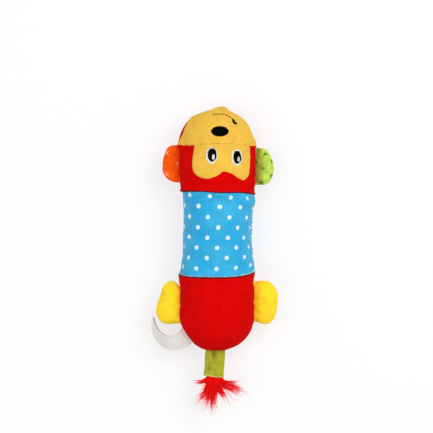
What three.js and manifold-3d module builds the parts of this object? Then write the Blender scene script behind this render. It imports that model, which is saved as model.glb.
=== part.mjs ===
// Squeaky plush dog toy: a stuffed cloth tube sewn as an animal, with ears, feet, a tail and two squeakers.
// Millimetres, +Z up. The toy lies on its back, +Y runs towards the muzzle and +Z out of the face.
// The origin is on the floor, under the middle of the belly.
import * as THREE from "three";
import { mergeVertices } from "three/addons/utils/BufferGeometryUtils.js";
import Module from "manifold-3d";

const wasm = await Module();
wasm.setup();

// Cloth and fits
const CLOTH = 0.9; // body cloth with its pile
const LIMB_CLOTH = 0.7; // cloth of ears, feet and tail
const APPLIQUE = 0.6; // face patch
const THREAD = 0.5; // height of satin-stitch embroidery
const GAP = 0.3; // between pieces that touch
const ROOT_GAP = 0.6; // between a limb's sewn root and the seam that it turns at
const REST_CUT = 0.5; // depth of the flat that the back lies on
const FACETS = 28; // points round a body section
const LIMB_FACETS = 12; // points round a limb section
const FAR = 400; // reach of a cutting block past the toy

// Body
const BELLY_HALF_WIDTH = 26;
const BELLY_HALF_HEIGHT = 21.9;
const BELLY_LENGTH = 62; // neck seam to waist seam
const BELLY_TAPER = 0.4; // how much narrower each side of the belly is in its middle
const BEND_ANGLE = THREE.MathUtils.degToRad(12); // how far head and hip bend on the belly
const BEND_CLEARANCE = 0.7; // between the belly cloth and the hem that slides over it
const HEM_TUCK = 6; // belly cloth under each hem
const PLUG_REACH = 11; // stuffing past the neck and waist seams
const HEAD_LENGTH = 34.2; // neck seam to muzzle seam
const MUZZLE_LENGTH = 28.6; // muzzle seam to the tip
const MUZZLE_POWER = 1.7; // roundness of the muzzle's outline
const MUZZLE_LEAN = 4; // how far the tip leans to the right
const BODY_SWELL = 0.3; // how much each side of head and hip swells past its hem
const HIP_LENGTH = 27; // waist seam to where the end rounds off
const HIP_END = 26.4; // length of the rounded end
const HIP_POWER = 2;
const END_STEPS = 5; // rings on a rounded end

// Ears and feet: reach out of the seam, half the seam's length, half the thickness,
// how far the tip leans towards the muzzle, and how far the middle lies from the muzzle or waist seam
const EAR_LEFT = { reach: 11, span: 13.6, swell: 4.5, lean: -0.5, drop: 13.4 };
const EAR_RIGHT = { reach: 13.2, span: 14, swell: 4.5, lean: -1, drop: 15.6 };
const FOOT_LEFT = { reach: 16.8, span: 15.6, swell: 6.5, lean: -2.5, drop: 19 };
const FOOT_RIGHT = { reach: 16.6, span: 15.6, swell: 6.5, lean: 1.5, drop: 18.6 };
const LIMB_POWER = 2.6; // squareness of the limbs' outline
const LIMB_ROOT = 0.75; // half the thickness of the two cloths in the seam

// Tail and tuft
const TAIL = { x: -1.5, length: 19.4, halfWidth: 7.3, swell: 3.6 };
const BINDING = { width: 1.4, thread: 0.7 };
const TUFT_ROOT = {
  halfWidth: TAIL.halfWidth - LIMB_CLOTH - BINDING.thread - 1.7,
  halfHeight: TAIL.swell - LIMB_CLOTH - BINDING.thread - 2 * GAP,
  depth: 4,
};
const TUFT_SWAY = THREE.MathUtils.degToRad(20); // how far the tuft turns in the hem
const TUFT_CORE = { halfWidth: 4.6, halfHeight: 3, drop: 6 };
const LOCK_RADIUS = 1.9; // thickness of a lock of fibre at its base
const LOCK_TIP = 0.35;
// Where each lock ends, from the middle of the tail's hem: across, down and up off the floor
const LOCKS = [
  [-13, -10, 1],
  [-10, -19, -2],
  [-2.5, -24.5, 1],
  [3.5, -19, 4],
  [10, -18, -3],
  [17, -14, 2],
  [20, -11, -1],
];

// Label: a satin ribbon folded in two, sewn into the seam beside the tail
const LABEL = { width: 13, thickness: 0.45, straight: 6, bendRadius: 14.5, drop: 8, fold: 2.6, along: 16.4 };
const LABEL_BEND = THREE.MathUtils.degToRad(130);
const LABEL_ROLL = THREE.MathUtils.degToRad(75);
const LABEL_STEPS = 12;

// Face, seen from the front: places are across the body and along it from the muzzle seam
const PATCH = { x: 3.2, halfWidth: 21.3, height: 24.2, notch: 5.4, corner: 9 };
const EYES = { x: 5.9, y: -8.6, spacing: 18.5, step: 1.9 }; // step is how much lower the right one sits
const PUPIL = { halfWidth: 3.1, halfHeight: 4.75 };
const EYE_RIM = { side: 0.95, top: 1.25 }; // white round each pupil
const GLINT = { x: 0.7, y: -1.3, halfWidth: 1.2, halfHeight: 2.1 };
const NOSE = { x: 2.6, y: 10, halfWidth: 6.2, halfHeight: 3.7 };
const MOUTH_WIDTH = 0.9;
const MOUTH = [
  [-3, 22.4],
  [3, 23.1],
  [8.8, 21.4],
  [12, 19],
];
const CHEEK = { x: 13.4, y: 16.9, halfWidth: 0.8, halfHeight: 2, turn: THREE.MathUtils.degToRad(43) };

// Squeakers
const PRESS_TRAVEL = 7; // how far the front of the belly is pushed in
const BULB = { radius: 14.2, halfHeight: 7.5, wall: 0.9, spacing: 2.6 };
const NOZZLE = { radius: 4, wall: 0.9, length: 5 };
const WHISTLE = { wall: 0.9, flange: 1, length: 9 };
const REED = { width: 2.2, thickness: 0.25, length: 7 };
const BULB_FACETS = 12;

// Closing stitch on the belly's right side seam
const STITCH = { count: 9, pitch: 2.8, swing: 1.6, radius: 0.35 };

// Sizes that follow from those above
const BODY_HALF_WIDTH = BELLY_HALF_WIDTH + BEND_CLEARANCE + CLOTH;
const BODY_HALF_HEIGHT = BELLY_HALF_HEIGHT + BEND_CLEARANCE + CLOTH;
const AXIS_Z = BODY_HALF_HEIGHT - REST_CUT; // height of the side seams over the floor
const BELLY_SAG = BODY_HALF_HEIGHT - BELLY_HALF_HEIGHT; // lets the belly reach the floor too
const SEAM = BELLY_LENGTH / 2;
const MUZZLE_SEAM = SEAM + HEAD_LENGTH;
const HIP_BOTTOM = SEAM + HIP_LENGTH + HIP_END;
const PRESS_HALF_GAP = (PRESS_TRAVEL + 2 * GAP) / 2;
const SQUEAKER_Y = BULB.radius + BULB.spacing / 2;
const BORE = NOZZLE.radius - NOZZLE.wall - GAP - WHISTLE.wall; // radius inside the whistle
const LIMB_X = BODY_HALF_WIDTH + BODY_SWELL + ROOT_GAP;

// Materials
const cloth = (color, roughness = 0.95) => new THREE.MeshStandardMaterial({ color, roughness, metalness: 0 });
const redPlush = cloth(0xd30c0d);
const yellowPlush = cloth(0xf1c24d);
const blueCotton = cloth(0x35a9e4, 0.8);
const orangePrint = cloth(0xff5a12);
const greenPrint = cloth(0xa5d04a);
const footPlush = cloth(0xffd630);
const oliveCloth = cloth(0xa9a82c);
const tuftFibre = cloth(0xef1519, 0.7);
const satin = cloth(0xe8e5de, 0.45);
const blackThread = cloth(0x0d0c0d, 0.55);
const whiteThread = cloth(0xf6f4f0, 0.6);
const seamThread = cloth(0x2f9ad6, 0.7);
const fibreFill = cloth(0xf2f2ee, 1);
const squeakerPlastic = cloth(0xe6ebea, 0.35);
const reedFilm = cloth(0xd8d3c2, 0.3);

// Solids
function toSolid(geometry) {
  const bare = geometry.clone();
  bare.deleteAttribute("normal");
  bare.deleteAttribute("uv");
  const merged = mergeVertices(bare, 1e-4);
  return new wasm.Manifold(
    new wasm.Mesh({
      numProp: 3,
      vertProperties: new Float32Array(merged.attributes.position.array),
      triVerts: new Uint32Array(merged.index.array),
    }),
  );
}

function toGeometry(solid) {
  const mesh = solid.getMesh();
  return new THREE.BufferGeometry()
    .setAttribute("position", new THREE.BufferAttribute(new Float32Array(mesh.vertProperties), 3))
    .setIndex(new THREE.BufferAttribute(new Uint32Array(mesh.triVerts), 1));
}

const cut = (solid, ...tools) => tools.reduce((left, tool) => left.subtract(tool), solid);
const join = (...solids) => solids.reduce((whole, solid) => whole.add(solid));
const common = (...solids) => solids.reduce((whole, solid) => whole.intersect(solid));

function block(low, high) {
  const size = high.map((value, i) => value - low[i]);
  const middle = high.map((value, i) => (value + low[i]) / 2);
  return toSolid(new THREE.BoxGeometry(...size).translate(...middle));
}

// A closed surface through rings of points, each ring with the same count, with flat caps on both ends
function skinRings(rings) {
  const count = rings[0].length;
  const points = rings.flat();
  const index = [];
  for (let r = 0; r + 1 < rings.length; r++) {
    for (let i = 0; i < count; i++) {
      const [a, b] = [r * count + i, r * count + ((i + 1) % count)];
      index.push(a, b, b + count, a, b + count, a + count);
    }
  }
  for (const [ring, first, turn] of [[rings[0], 0, 1], [rings.at(-1), (rings.length - 1) * count, 0]]) {
    const middle = points.length;
    points.push(ring.reduce((sum, p) => sum.clone().add(p), new THREE.Vector3()).divideScalar(count));
    for (let i = 0; i < count; i++) {
      const [a, b] = [first + i, first + ((i + 1) % count)];
      index.push(middle, ...(turn ? [b, a] : [a, b]));
    }
  }
  return new THREE.BufferGeometry().setFromPoints(points).setIndex(facingOut(points, index));
}

// The same triangles, turned over if they face inwards
function facingOut(points, index) {
  let volume = 0;
  for (let i = 0; i < index.length; i += 3) {
    const [a, b, c] = [points[index[i]], points[index[i + 1]], points[index[i + 2]]];
    volume += a.dot(b.clone().cross(c));
  }
  return volume < 0 ? index.toReversed() : index;
}

// A loft along +Y through oval sections, with their own heights above and below the middle
function loft(sections, facets = FACETS) {
  const rings = sections.map(({ x = 0, y, z = 0, width, up, down = up }) =>
    Array.from({ length: facets }, (_, i) => {
      const angle = (-2 * Math.PI * i) / facets;
      const rise = Math.sin(angle);
      return new THREE.Vector3(x + width * Math.cos(angle), y, z + (rise > 0 ? up : down) * rise);
    }),
  );
  return toSolid(skinRings(rings));
}

// Solids over and under the side seam, and between two places along the body
const above = (z) => block([-FAR, -FAR, z], [FAR, FAR, FAR]);
const below = (z) => block([-FAR, -FAR, -FAR], [FAR, FAR, z]);
const between = (low, high) => block([-FAR, low, -FAR], [FAR, high, FAR]);
const frontHalf = above(AXIS_Z + GAP / 2);
const backHalf = common(below(AXIS_Z - GAP / 2), above(0));

const node = (name, solid, material) => Object.assign(new THREE.Mesh(toGeometry(solid), material), { name });

// Share of a section that is left at a distance into a rounded end
const rounded = (distance, length, power) => Math.sqrt(Math.max(0, 1 - (distance / length) ** power));

// How near the middle of the belly a place is: 1 in the middle, 0 from the seams on
const bellyMiddle = (y) => 1 - Math.min(1, Math.abs(y) / SEAM) ** 2;

// Body surfaces: inset is how deep they lie under the outside of the cloth
function bellySections(inset, reach) {
  const width = BELLY_HALF_WIDTH - inset;
  const height = BELLY_HALF_HEIGHT - inset;
  const half = [1, 0.6, 0.3, 0].map((share) => share * SEAM);
  const side = [SEAM + reach, SEAM + reach / 2, ...half];
  const stations = [...side.map((y) => -y), ...side.slice(0, -1).reverse()];
  return stations.map((y) => {
    const share = rounded(Math.max(0, Math.abs(y) - SEAM), height, 2);
    const sag = BELLY_SAG * bellyMiddle(y) ** 3;
    return {
      y,
      z: AXIS_Z,
      width: (width - BELLY_TAPER * bellyMiddle(y)) * share,
      up: height * share,
      down: (height + sag) * share,
    };
  });
}

// Head and hip: from a hem that swells a little, to an end that rounds off and may lean to the right
function endSections({ straight, length, power, lean }, inset, from) {
  const width = BODY_HALF_WIDTH - inset;
  const up = BODY_HALF_HEIGHT - inset;
  const sections = [from, SEAM + HEM_TUCK, SEAM + straight * 0.6].map((y) => ({
    y,
    z: AXIS_Z,
    width: width + BODY_SWELL * Math.min(1, Math.max(0, (y - SEAM) / (straight * 0.6))),
    up,
  }));
  for (let k = 0; k <= END_STEPS; k++) {
    const into = Math.sin((k / END_STEPS) * 0.47 * Math.PI);
    const share = rounded(into, 1, power);
    const y = SEAM + straight + into * (length - inset);
    const swell = BODY_SWELL * Math.max(0, 1 - 2 * into);
    sections.push({ x: lean * into ** 3, y, z: AXIS_Z, width: width * share + swell, up: up * share });
  }
  return sections.filter(({ y }) => y >= from);
}

const HEAD_END = { straight: HEAD_LENGTH, length: MUZZLE_LENGTH, power: MUZZLE_POWER, lean: MUZZLE_LEAN };
const HIP_ROUND = { straight: HIP_LENGTH, length: HIP_END, power: HIP_POWER, lean: 0 };
const headSections = (inset, from) => endSections(HEAD_END, inset, from);

const mirrorY = (sections) => sections.map((section) => ({ ...section, y: -section.y })).reverse();
const hipSections = (inset, from) => mirrorY(endSections(HIP_ROUND, inset, from));

// The hollow in the stuffing of head and hip that the belly's rounded end turns in
function bendPocket(sign) {
  const width = BELLY_HALF_WIDTH + BEND_CLEARANCE;
  const height = BELLY_HALF_HEIGHT + BEND_CLEARANCE;
  const depth = PLUG_REACH * Math.cos(BEND_ANGLE) + height * Math.sin(BEND_ANGLE) + GAP;
  const steps = [-1, 0, depth * 0.35, depth * 0.7, depth];
  const sections = steps.map((step) => {
    const share = rounded(Math.max(0, step), height, 2);
    return { y: SEAM + step, z: AXIS_Z, width: width * share, up: height * share };
  });
  return loft(sign > 0 ? sections : mirrorY(sections));
}

// Head: muzzle, red front and back panels, stuffing
function makeHead() {
  const outside = loft(headSections(0, SEAM));
  const shell = cut(outside, loft(headSections(CLOTH, SEAM - 1)));
  const front = common(shell, frontHalf);
  const stuffing = cut(loft(headSections(CLOTH + GAP, SEAM + HEM_TUCK + 2)), bendPocket(1));
  const group = new THREE.Group();
  group.add(
    node("muzzle_panel", common(front, between(MUZZLE_SEAM + GAP / 2, FAR)), yellowPlush),
    node("head_front_panel", common(front, between(-FAR, MUZZLE_SEAM - GAP / 2)), redPlush),
    node("head_back_panel", common(shell, backHalf), redPlush),
    node("head_wad", stuffing, fibreFill),
  );
  return group;
}

// A layer of cloth or thread that follows the head's front, between two heights over its cloth
function headLayer(low, high) {
  return common(cut(loft(headSections(-high, SEAM)), loft(headSections(-low, SEAM - 1))), frontHalf);
}

const prism = (shape) =>
  toSolid(new THREE.ExtrudeGeometry(shape, { depth: FAR, bevelEnabled: false, curveSegments: 6 }));

function oval(x, y, halfWidth, halfHeight, turn = 0) {
  return new THREE.Shape().absellipse(x, y, halfWidth, halfHeight, 0, 2 * Math.PI, false, turn);
}

// The face patch: square at the muzzle seam, two round lobes with a notch between them
function patchShape() {
  const { x, halfWidth, height, notch, corner } = PATCH;
  const top = MUZZLE_SEAM - GAP;
  const bottom = top - height;
  const [left, right] = [x - halfWidth, x + halfWidth];
  return new THREE.Shape()
    .moveTo(left + 1, top)
    .quadraticCurveTo(left - 1, top - height / 2, left + 1, bottom + corner)
    .bezierCurveTo(left + 3, bottom, left + halfWidth * 0.6, bottom - 1, x, bottom + notch)
    .bezierCurveTo(right - halfWidth * 0.6, bottom - 1, right - 2, bottom - 1, right, bottom + corner)
    .lineTo(right, top)
    .lineTo(left + 1, top);
}

function makeEye(name, side) {
  const x = EYES.x + (side * EYES.spacing) / 2;
  const y = MUZZLE_SEAM + EYES.y - (side * EYES.step) / 2;
  const layer = headLayer(GAP + APPLIQUE + GAP, GAP + APPLIQUE + GAP + THREAD);
  const { halfWidth, halfHeight } = PUPIL;
  const pieces = [
    ["white", oval(x, y, halfWidth + GAP + EYE_RIM.side, halfHeight + GAP + EYE_RIM.top), whiteThread],
    ["pupil", oval(x, y, halfWidth, halfHeight), blackThread],
    ["glint", oval(x + GLINT.x, y + GLINT.y, GLINT.halfWidth, GLINT.halfHeight), whiteThread],
  ];
  const holes = [
    oval(x, y, halfWidth + GAP, halfHeight + GAP),
    oval(x + GLINT.x, y + GLINT.y, GLINT.halfWidth + GAP, GLINT.halfHeight + GAP),
  ];
  return pieces.map(([piece, shape, material], i) => {
    const solid = common(layer, prism(shape));
    return node(`${name}_${piece}`, holes[i] ? cut(solid, prism(holes[i])) : solid, material);
  });
}

// A line of stitches as an outline of its own width
function strokeShape(points, width) {
  const line = new THREE.SplineCurve(points.map(([x, y]) => new THREE.Vector2(x, y)));
  const sides = [1, -1].map((sign) =>
    Array.from({ length: 9 }, (_, i) => {
      const along = line.getTangent(i / 8);
      const aside = new THREE.Vector2(-along.y, along.x);
      return line.getPoint(i / 8).addScaledVector(aside, (sign * width) / 2);
    }),
  );
  return new THREE.Shape([...sides[0], ...sides[1].reverse()]);
}

// Face: patch and eyes on the red front, nose and mouth on the muzzle
function makeFace() {
  const patch = common(headLayer(GAP, GAP + APPLIQUE), prism(patchShape()));
  const stitches = headLayer(GAP, GAP + THREAD);
  const mouth = strokeShape(MOUTH.map(([x, y]) => [x, y + MUZZLE_SEAM]), MOUTH_WIDTH);
  const nose = oval(NOSE.x, MUZZLE_SEAM + NOSE.y, NOSE.halfWidth, NOSE.halfHeight);
  const { halfWidth, halfHeight, turn } = CHEEK;
  const cheek = oval(CHEEK.x, MUZZLE_SEAM + CHEEK.y, halfWidth, halfHeight, turn);
  const group = new THREE.Group();
  group.add(
    node("face_patch", patch, yellowPlush),
    ...makeEye("eye_left", -1),
    ...makeEye("eye_right", 1),
    node("nose", common(stitches, prism(nose)), blackThread),
    node("mouth_stitch", common(stitches, prism(mouth)), blackThread),
    node("cheek_stitch", common(stitches, prism(cheek)), blackThread),
  );
  return group;
}

// A limb's surface from its sewn root out along +Y: flat in the seam, swelling, then closing in a round edge
function limbSections({ reach, span, swell, lean }, side, inset, from) {
  return [0, 0.08, 0.24, 0.5, 0.76, 0.93, 0.99]
    .filter((share) => share >= from)
    .map((share) => {
      const rise = Math.sin(Math.min(1, share / 0.5) * (Math.PI / 2));
      const thick = (LIMB_ROOT + (swell - LIMB_ROOT) * rise) * rounded(share, 1, 4);
      return {
        x: -side * lean * share,
        y: from * inset + share * (reach - inset),
        width: (span - inset) * rounded(share, 1, LIMB_POWER),
        up: Math.max(thick - inset, GAP / 2),
      };
    });
}

// A stuffed limb in two cloths with its filling, turned to stand out of the right or left seam
function makeLimb(name, size, side, seam, material) {
  const layer = (inset, from) => loft(limbSections(size, side, inset, from), LIMB_FACETS);
  const shell = cut(layer(0, 0), layer(LIMB_CLOTH, 0.08));
  const group = new THREE.Group();
  group.position.set(side * LIMB_X, seam - size.drop, AXIS_Z);
  group.rotation.z = (-side * Math.PI) / 2;
  group.add(
    node(`${name}_front`, common(shell, above(GAP / 2)), material),
    node(`${name}_back`, common(shell, below(-GAP / 2)), material),
    node(`${name}_wad`, layer(LIMB_CLOTH + GAP, 0.24), fibreFill),
  );
  return group;
}

// One squeaker about its own upright axis: a thin bulb, and a whistle with a reed in its nozzle
const lensRadius = (z, radius, halfHeight) => radius * Math.sqrt(Math.max(0, 1 - (z / halfHeight) ** 2));

function lensPoints(radius, halfHeight, mouth) {
  const lowest = -halfHeight * Math.sqrt(1 - (mouth / radius) ** 2);
  const steps = 6;
  return Array.from({ length: steps + 1 }, (_, i) => {
    const start = Math.asin(lowest / halfHeight);
    const z = halfHeight * Math.sin(start + (i / steps) * (Math.PI / 2 - start));
    return new THREE.Vector2(i === steps ? 0 : lensRadius(z, radius, halfHeight), z);
  });
}

const lathe = (points) => toSolid(new THREE.LatheGeometry(points, BULB_FACETS).rotateX(Math.PI / 2));

const nozzleEnd = -BULB.halfHeight - NOZZLE.length;
const flangeEnd = nozzleEnd - GAP - WHISTLE.flange;

function bulbSolid() {
  const bore = NOZZLE.radius - NOZZLE.wall;
  const inside = lensPoints(BULB.radius - BULB.wall, BULB.halfHeight - BULB.wall, bore);
  const outside = lensPoints(BULB.radius, BULB.halfHeight, NOZZLE.radius);
  const mouth = [new THREE.Vector2(bore, nozzleEnd), new THREE.Vector2(NOZZLE.radius, nozzleEnd)];
  return lathe([...inside.reverse(), ...mouth, ...outside]);
}

// The room that the stuffing leaves for a squeaker
function squeakerPocket() {
  const bulb = lensPoints(BULB.radius + GAP, BULB.halfHeight + GAP, NOZZLE.radius + GAP);
  const end = flangeEnd - GAP;
  const well = [new THREE.Vector2(0, end), new THREE.Vector2(NOZZLE.radius + GAP, end)];
  return lathe([...well, ...bulb]);
}

function whistleSolid() {
  const [bore, tube, flange] = [BORE, BORE + WHISTLE.wall, NOZZLE.radius];
  const [end, seat, tip] = [flangeEnd, nozzleEnd - GAP, flangeEnd + WHISTLE.length];
  const outside = [[flange, end], [flange, seat], [tube, seat], [tube, tip]];
  const profile = [[bore, end], ...outside, [bore, tip], [bore, end]];
  return lathe(profile.map(([r, z]) => new THREE.Vector2(r, z)));
}

// The reed's holder is a half-round bar across the whistle's bore; the reed lies against its flat side
function reedHolder() {
  const radius = BORE - GAP;
  const bar = new THREE.CylinderGeometry(radius, radius, WHISTLE.length, BULB_FACETS).rotateX(Math.PI / 2);
  const middle = flangeEnd + WHISTLE.length / 2;
  const flat = block([-REED.thickness / 2 - GAP, -FAR, -FAR], [FAR, FAR, FAR]);
  return cut(toSolid(bar.translate(0, 0, middle)), flat);
}

function reedSolid() {
  const [thick, wide] = [REED.thickness / 2, REED.width / 2];
  return block([-thick, -wide, flangeEnd], [thick, wide, flangeEnd + REED.length]);
}

function makeSqueaker(name, y) {
  const group = new THREE.Group();
  group.position.set(0, y, AXIS_Z);
  group.add(
    node(`${name}_bulb`, bulbSolid(), squeakerPlastic),
    node(`${name}_whistle`, whistleSolid(), squeakerPlastic),
    node(`${name}_reed_holder`, reedHolder(), squeakerPlastic),
    node(`${name}_reed`, reedSolid(), reedFilm),
  );
  return group;
}

// Belly: front and back cloth, stuffing in front of the squeakers, behind them and in the neck and waist
function makeBelly() {
  const shell = cut(loft(bellySections(0, HEM_TUCK)), loft(bellySections(CLOTH, HEM_TUCK + 1)));
  const squeakers = [1, -1].map((sign) => squeakerPocket().translate([0, sign * SQUEAKER_Y, AXIS_Z]));
  const filling = cut(loft(bellySections(CLOTH + GAP, PLUG_REACH)), ...squeakers);
  const middle = common(filling, between(-SEAM + GAP / 2, SEAM - GAP / 2));
  const pressed = common(middle, above(AXIS_Z + PRESS_HALF_GAP));
  const group = new THREE.Group();
  group.add(
    node("belly_front_panel", common(shell, frontHalf), blueCotton),
    node("belly_back_panel", common(shell, backHalf), blueCotton),
    node("press_wad_upper", common(pressed, between(GAP / 2, FAR)), fibreFill),
    node("press_wad_lower", common(pressed, between(-FAR, -GAP / 2)), fibreFill),
    node("belly_back_wad", common(middle, below(AXIS_Z - PRESS_HALF_GAP)), fibreFill),
    node("neck_wad", common(filling, between(SEAM + GAP / 2, FAR)), fibreFill),
    node("waist_wad", common(filling, between(-FAR, -SEAM - GAP / 2)), fibreFill),
    makeSqueaker("squeaker_upper", SQUEAKER_Y),
    makeSqueaker("squeaker_lower", -SQUEAKER_Y),
    node("closing_stitch", closingStitch(), seamThread),
  );
  return group;
}

// A tube along points, square to the line at its ends, with its own radius at each point
function tube(points, radii, sides, up = new THREE.Vector3(0, 0, 1)) {
  const rings = points.map((point, i) => {
    const [before, after] = [points[Math.max(0, i - 1)], points[Math.min(points.length - 1, i + 1)]];
    const along = after.clone().sub(before).normalize();
    const across = along.clone().cross(up).normalize();
    const over = across.clone().cross(along);
    return Array.from({ length: sides }, (_, k) => {
      const angle = (2 * Math.PI * k) / sides;
      const offset = across.clone().multiplyScalar(Math.cos(angle)).addScaledVector(over, Math.sin(angle));
      return point.clone().addScaledVector(offset, radii[i]);
    });
  });
  return toSolid(skinRings(rings));
}

// A zigzag of thread that closes the gap where the belly was stuffed
function closingStitch() {
  const points = Array.from({ length: STITCH.count }, (_, i) => {
    const y = (i - (STITCH.count - 1) / 2) * STITCH.pitch;
    const x = BELLY_HALF_WIDTH - BELLY_TAPER * bellyMiddle(y) + GAP + STITCH.radius;
    return new THREE.Vector3(x, y, AXIS_Z + (i % 2 ? 1 : -1) * STITCH.swing);
  });
  return tube(points, points.map(() => STITCH.radius), 5, new THREE.Vector3(1, 0, 0));
}

// Hip: red front and back panels, stuffing
function makeHip() {
  const shell = cut(loft(hipSections(0, SEAM)), loft(hipSections(CLOTH, SEAM - 1)));
  const stuffing = cut(loft(hipSections(CLOTH + GAP, SEAM + HEM_TUCK + 2)), bendPocket(-1));
  const group = new THREE.Group();
  group.add(
    node("hip_front_panel", common(shell, frontHalf), redPlush),
    node("hip_back_panel", common(shell, backHalf), redPlush),
    node("hip_wad", stuffing, fibreFill),
  );
  return group;
}

// Tail: a cloth tube, flat in the hip's end seam and open at its hem
function tailSections(inset, shares) {
  return shares.map((share) => {
    const rise = Math.sin(Math.min(1, share / 0.6) * (Math.PI / 2));
    const thick = LIMB_ROOT + (TAIL.swell - LIMB_ROOT) * rise;
    return { y: share * TAIL.length, width: TAIL.halfWidth - inset, up: Math.max(thick - inset, GAP / 2) };
  });
}

function makeTail() {
  const shell = cut(
    loft(tailSections(0, [0, 0.1, 0.3, 0.6, 1]), LIMB_FACETS),
    loft(tailSections(LIMB_CLOTH, [0.08, 0.1, 0.3, 0.6, 1.1]), LIMB_FACETS),
  );
  const swing = TUFT_ROOT.depth * Math.cos(TUFT_SWAY) + TUFT_ROOT.halfWidth * Math.sin(TUFT_SWAY);
  const filled = 1 - (swing + GAP) / TAIL.length;
  const group = new THREE.Group();
  group.position.set(TAIL.x, -HIP_BOTTOM - ROOT_GAP, AXIS_Z);
  group.rotation.z = Math.PI;
  group.add(
    node("tail_tube", shell, oliveCloth),
    node("tail_wad", loft(tailSections(LIMB_CLOTH + GAP, [0.25, 0.4, filled]), LIMB_FACETS), fibreFill),
  );
  return group;
}

// Tuft: fibre bound with thread and caught in the tail's hem, with its locks below it
function makeTuft() {
  const { halfWidth, halfHeight, depth } = TUFT_ROOT;
  const sections = [
    { y: -TUFT_CORE.drop * 1.5, width: 1.5, up: 1.2 },
    { y: -TUFT_CORE.drop, width: TUFT_CORE.halfWidth, up: TUFT_CORE.halfHeight },
    { y: 0, width: halfWidth, up: halfHeight },
    { y: depth, width: halfWidth, up: halfHeight },
  ];
  const locks = LOCKS.map(([x, y, z]) => {
    const start = new THREE.Vector3(x * 0.12, -TUFT_CORE.drop * 0.9, 0);
    const knee = new THREE.Vector3(x * 0.62, y * 0.72, z * 0.3);
    const points = new THREE.QuadraticBezierCurve3(start, knee, new THREE.Vector3(x, y, z)).getPoints(4);
    return tube(points, points.map((_, i) => LOCK_RADIUS + (LOCK_TIP - LOCK_RADIUS) * (i / 4) ** 1.5), 6);
  });
  const ring = (margin) =>
    [0, 1].map((end) => ({
      y: depth / 2 + (end ? 1 : -1) * (BINDING.width / 2 + (margin ? 0 : 1)),
      width: halfWidth + GAP + margin,
      up: halfHeight + GAP + margin,
    }));
  const group = new THREE.Group();
  group.position.set(TAIL.x, -HIP_BOTTOM - ROOT_GAP - TAIL.length, AXIS_Z);
  group.add(
    node("tail_tuft", join(loft(sections, LIMB_FACETS), ...locks), tuftFibre),
    node("tuft_binding", cut(loft(ring(BINDING.thread), LIMB_FACETS), loft(ring(0), LIMB_FACETS)), tuftFibre),
  );
  return group;
}

// The label's ribbon at a share of its way out: its middle, its width's direction and its upper face's normal
function ribbonFrame(share) {
  const arc = LABEL.bendRadius * LABEL_BEND;
  const run = share * (LABEL.straight + arc);
  const turn = Math.max(0, run - LABEL.straight) / LABEL.bendRadius;
  const middle = new THREE.Vector3(
    LABEL.bendRadius * (1 - Math.cos(turn)),
    Math.min(run, LABEL.straight) + LABEL.bendRadius * Math.sin(turn),
    -LABEL.drop * share ** 1.5,
  );
  const outward = new THREE.Vector3(-Math.cos(turn), Math.sin(turn), 0);
  const roll = LABEL_ROLL * share ** 1.3;
  const up = new THREE.Vector3(0, 0, 1);
  const across = outward.clone().multiplyScalar(Math.cos(roll)).addScaledVector(up, -Math.sin(roll));
  const normal = outward.clone().multiplyScalar(Math.sin(roll)).addScaledVector(up, Math.cos(roll));
  return { middle, across, normal };
}

// The ribbon goes out, turns over in a small fold and comes back under itself
function makeLabel() {
  const upper = Array.from({ length: LABEL_STEPS + 1 }, (_, i) => i / LABEL_STEPS);
  const rootLift = LABEL.thickness / 2 + GAP / 2;
  const half = (share) => rootLift + (LABEL.fold / 2 - rootLift) * share;
  const fold = [0.25, 0.5, 0.75].map((part) => part * Math.PI);
  const tip = ribbonFrame(1);
  const onward = tip.across.clone().cross(tip.normal).negate();
  const stations = [
    ...upper.map((share) => {
      const { middle, across, normal } = ribbonFrame(share);
      return { middle: middle.clone().addScaledVector(normal, half(share)), across, normal };
    }),
    ...fold.map((angle) => {
      const normal = tip.normal.clone().multiplyScalar(Math.cos(angle));
      normal.addScaledVector(onward, Math.sin(angle));
      return { middle: tip.middle.clone().addScaledVector(normal, half(1)), across: tip.across, normal };
    }),
    ...upper.toReversed().map((share) => {
      const { middle, across, normal } = ribbonFrame(share);
      const under = normal.clone().negate();
      return { middle: middle.clone().addScaledVector(under, half(share)), across, normal: under };
    }),
  ];
  const corners = [[1, 1], [-1, 1], [-1, -1], [1, -1]];
  const rings = stations.map(({ middle, across, normal }) =>
    corners.map(([side, face]) =>
      middle
        .clone()
        .addScaledVector(across, (side * LABEL.width) / 2)
        .addScaledVector(normal, (face * LABEL.thickness) / 2),
    ),
  );
  // The seam's place on the hip's rounded end, and the way that it faces
  const width = BODY_HALF_WIDTH * rounded(LABEL.along, HIP_END, HIP_POWER);
  const facing = new THREE.Vector2(-width / BODY_HALF_WIDTH ** 2, -LABEL.along / HIP_END ** 2).normalize();
  const group = new THREE.Group();
  group.position.set(-width, -SEAM - HIP_LENGTH - LABEL.along, AXIS_Z);
  group.position.add(new THREE.Vector3(facing.x, facing.y, 0).multiplyScalar(ROOT_GAP));
  group.rotation.z = Math.atan2(-facing.x, facing.y);
  group.add(node("care_label", toSolid(skinRings(rings)), satin));
  return group;
}

const toy = new THREE.Group();
toy.add(
  makeHead(),
  makeFace(),
  makeLimb("ear_left", EAR_LEFT, -1, MUZZLE_SEAM, orangePrint),
  makeLimb("ear_right", EAR_RIGHT, 1, MUZZLE_SEAM, greenPrint),
  makeBelly(),
  makeHip(),
  makeLimb("foot_left", FOOT_LEFT, -1, -SEAM, footPlush),
  makeLimb("foot_right", FOOT_RIGHT, 1, -SEAM, footPlush),
  makeTail(),
  makeTuft(),
  makeLabel(),
);

export default toy;
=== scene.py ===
import math

import bmesh
import bpy
import numpy as np
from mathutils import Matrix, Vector, noise
from mathutils.bvhtree import BVHTree


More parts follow.
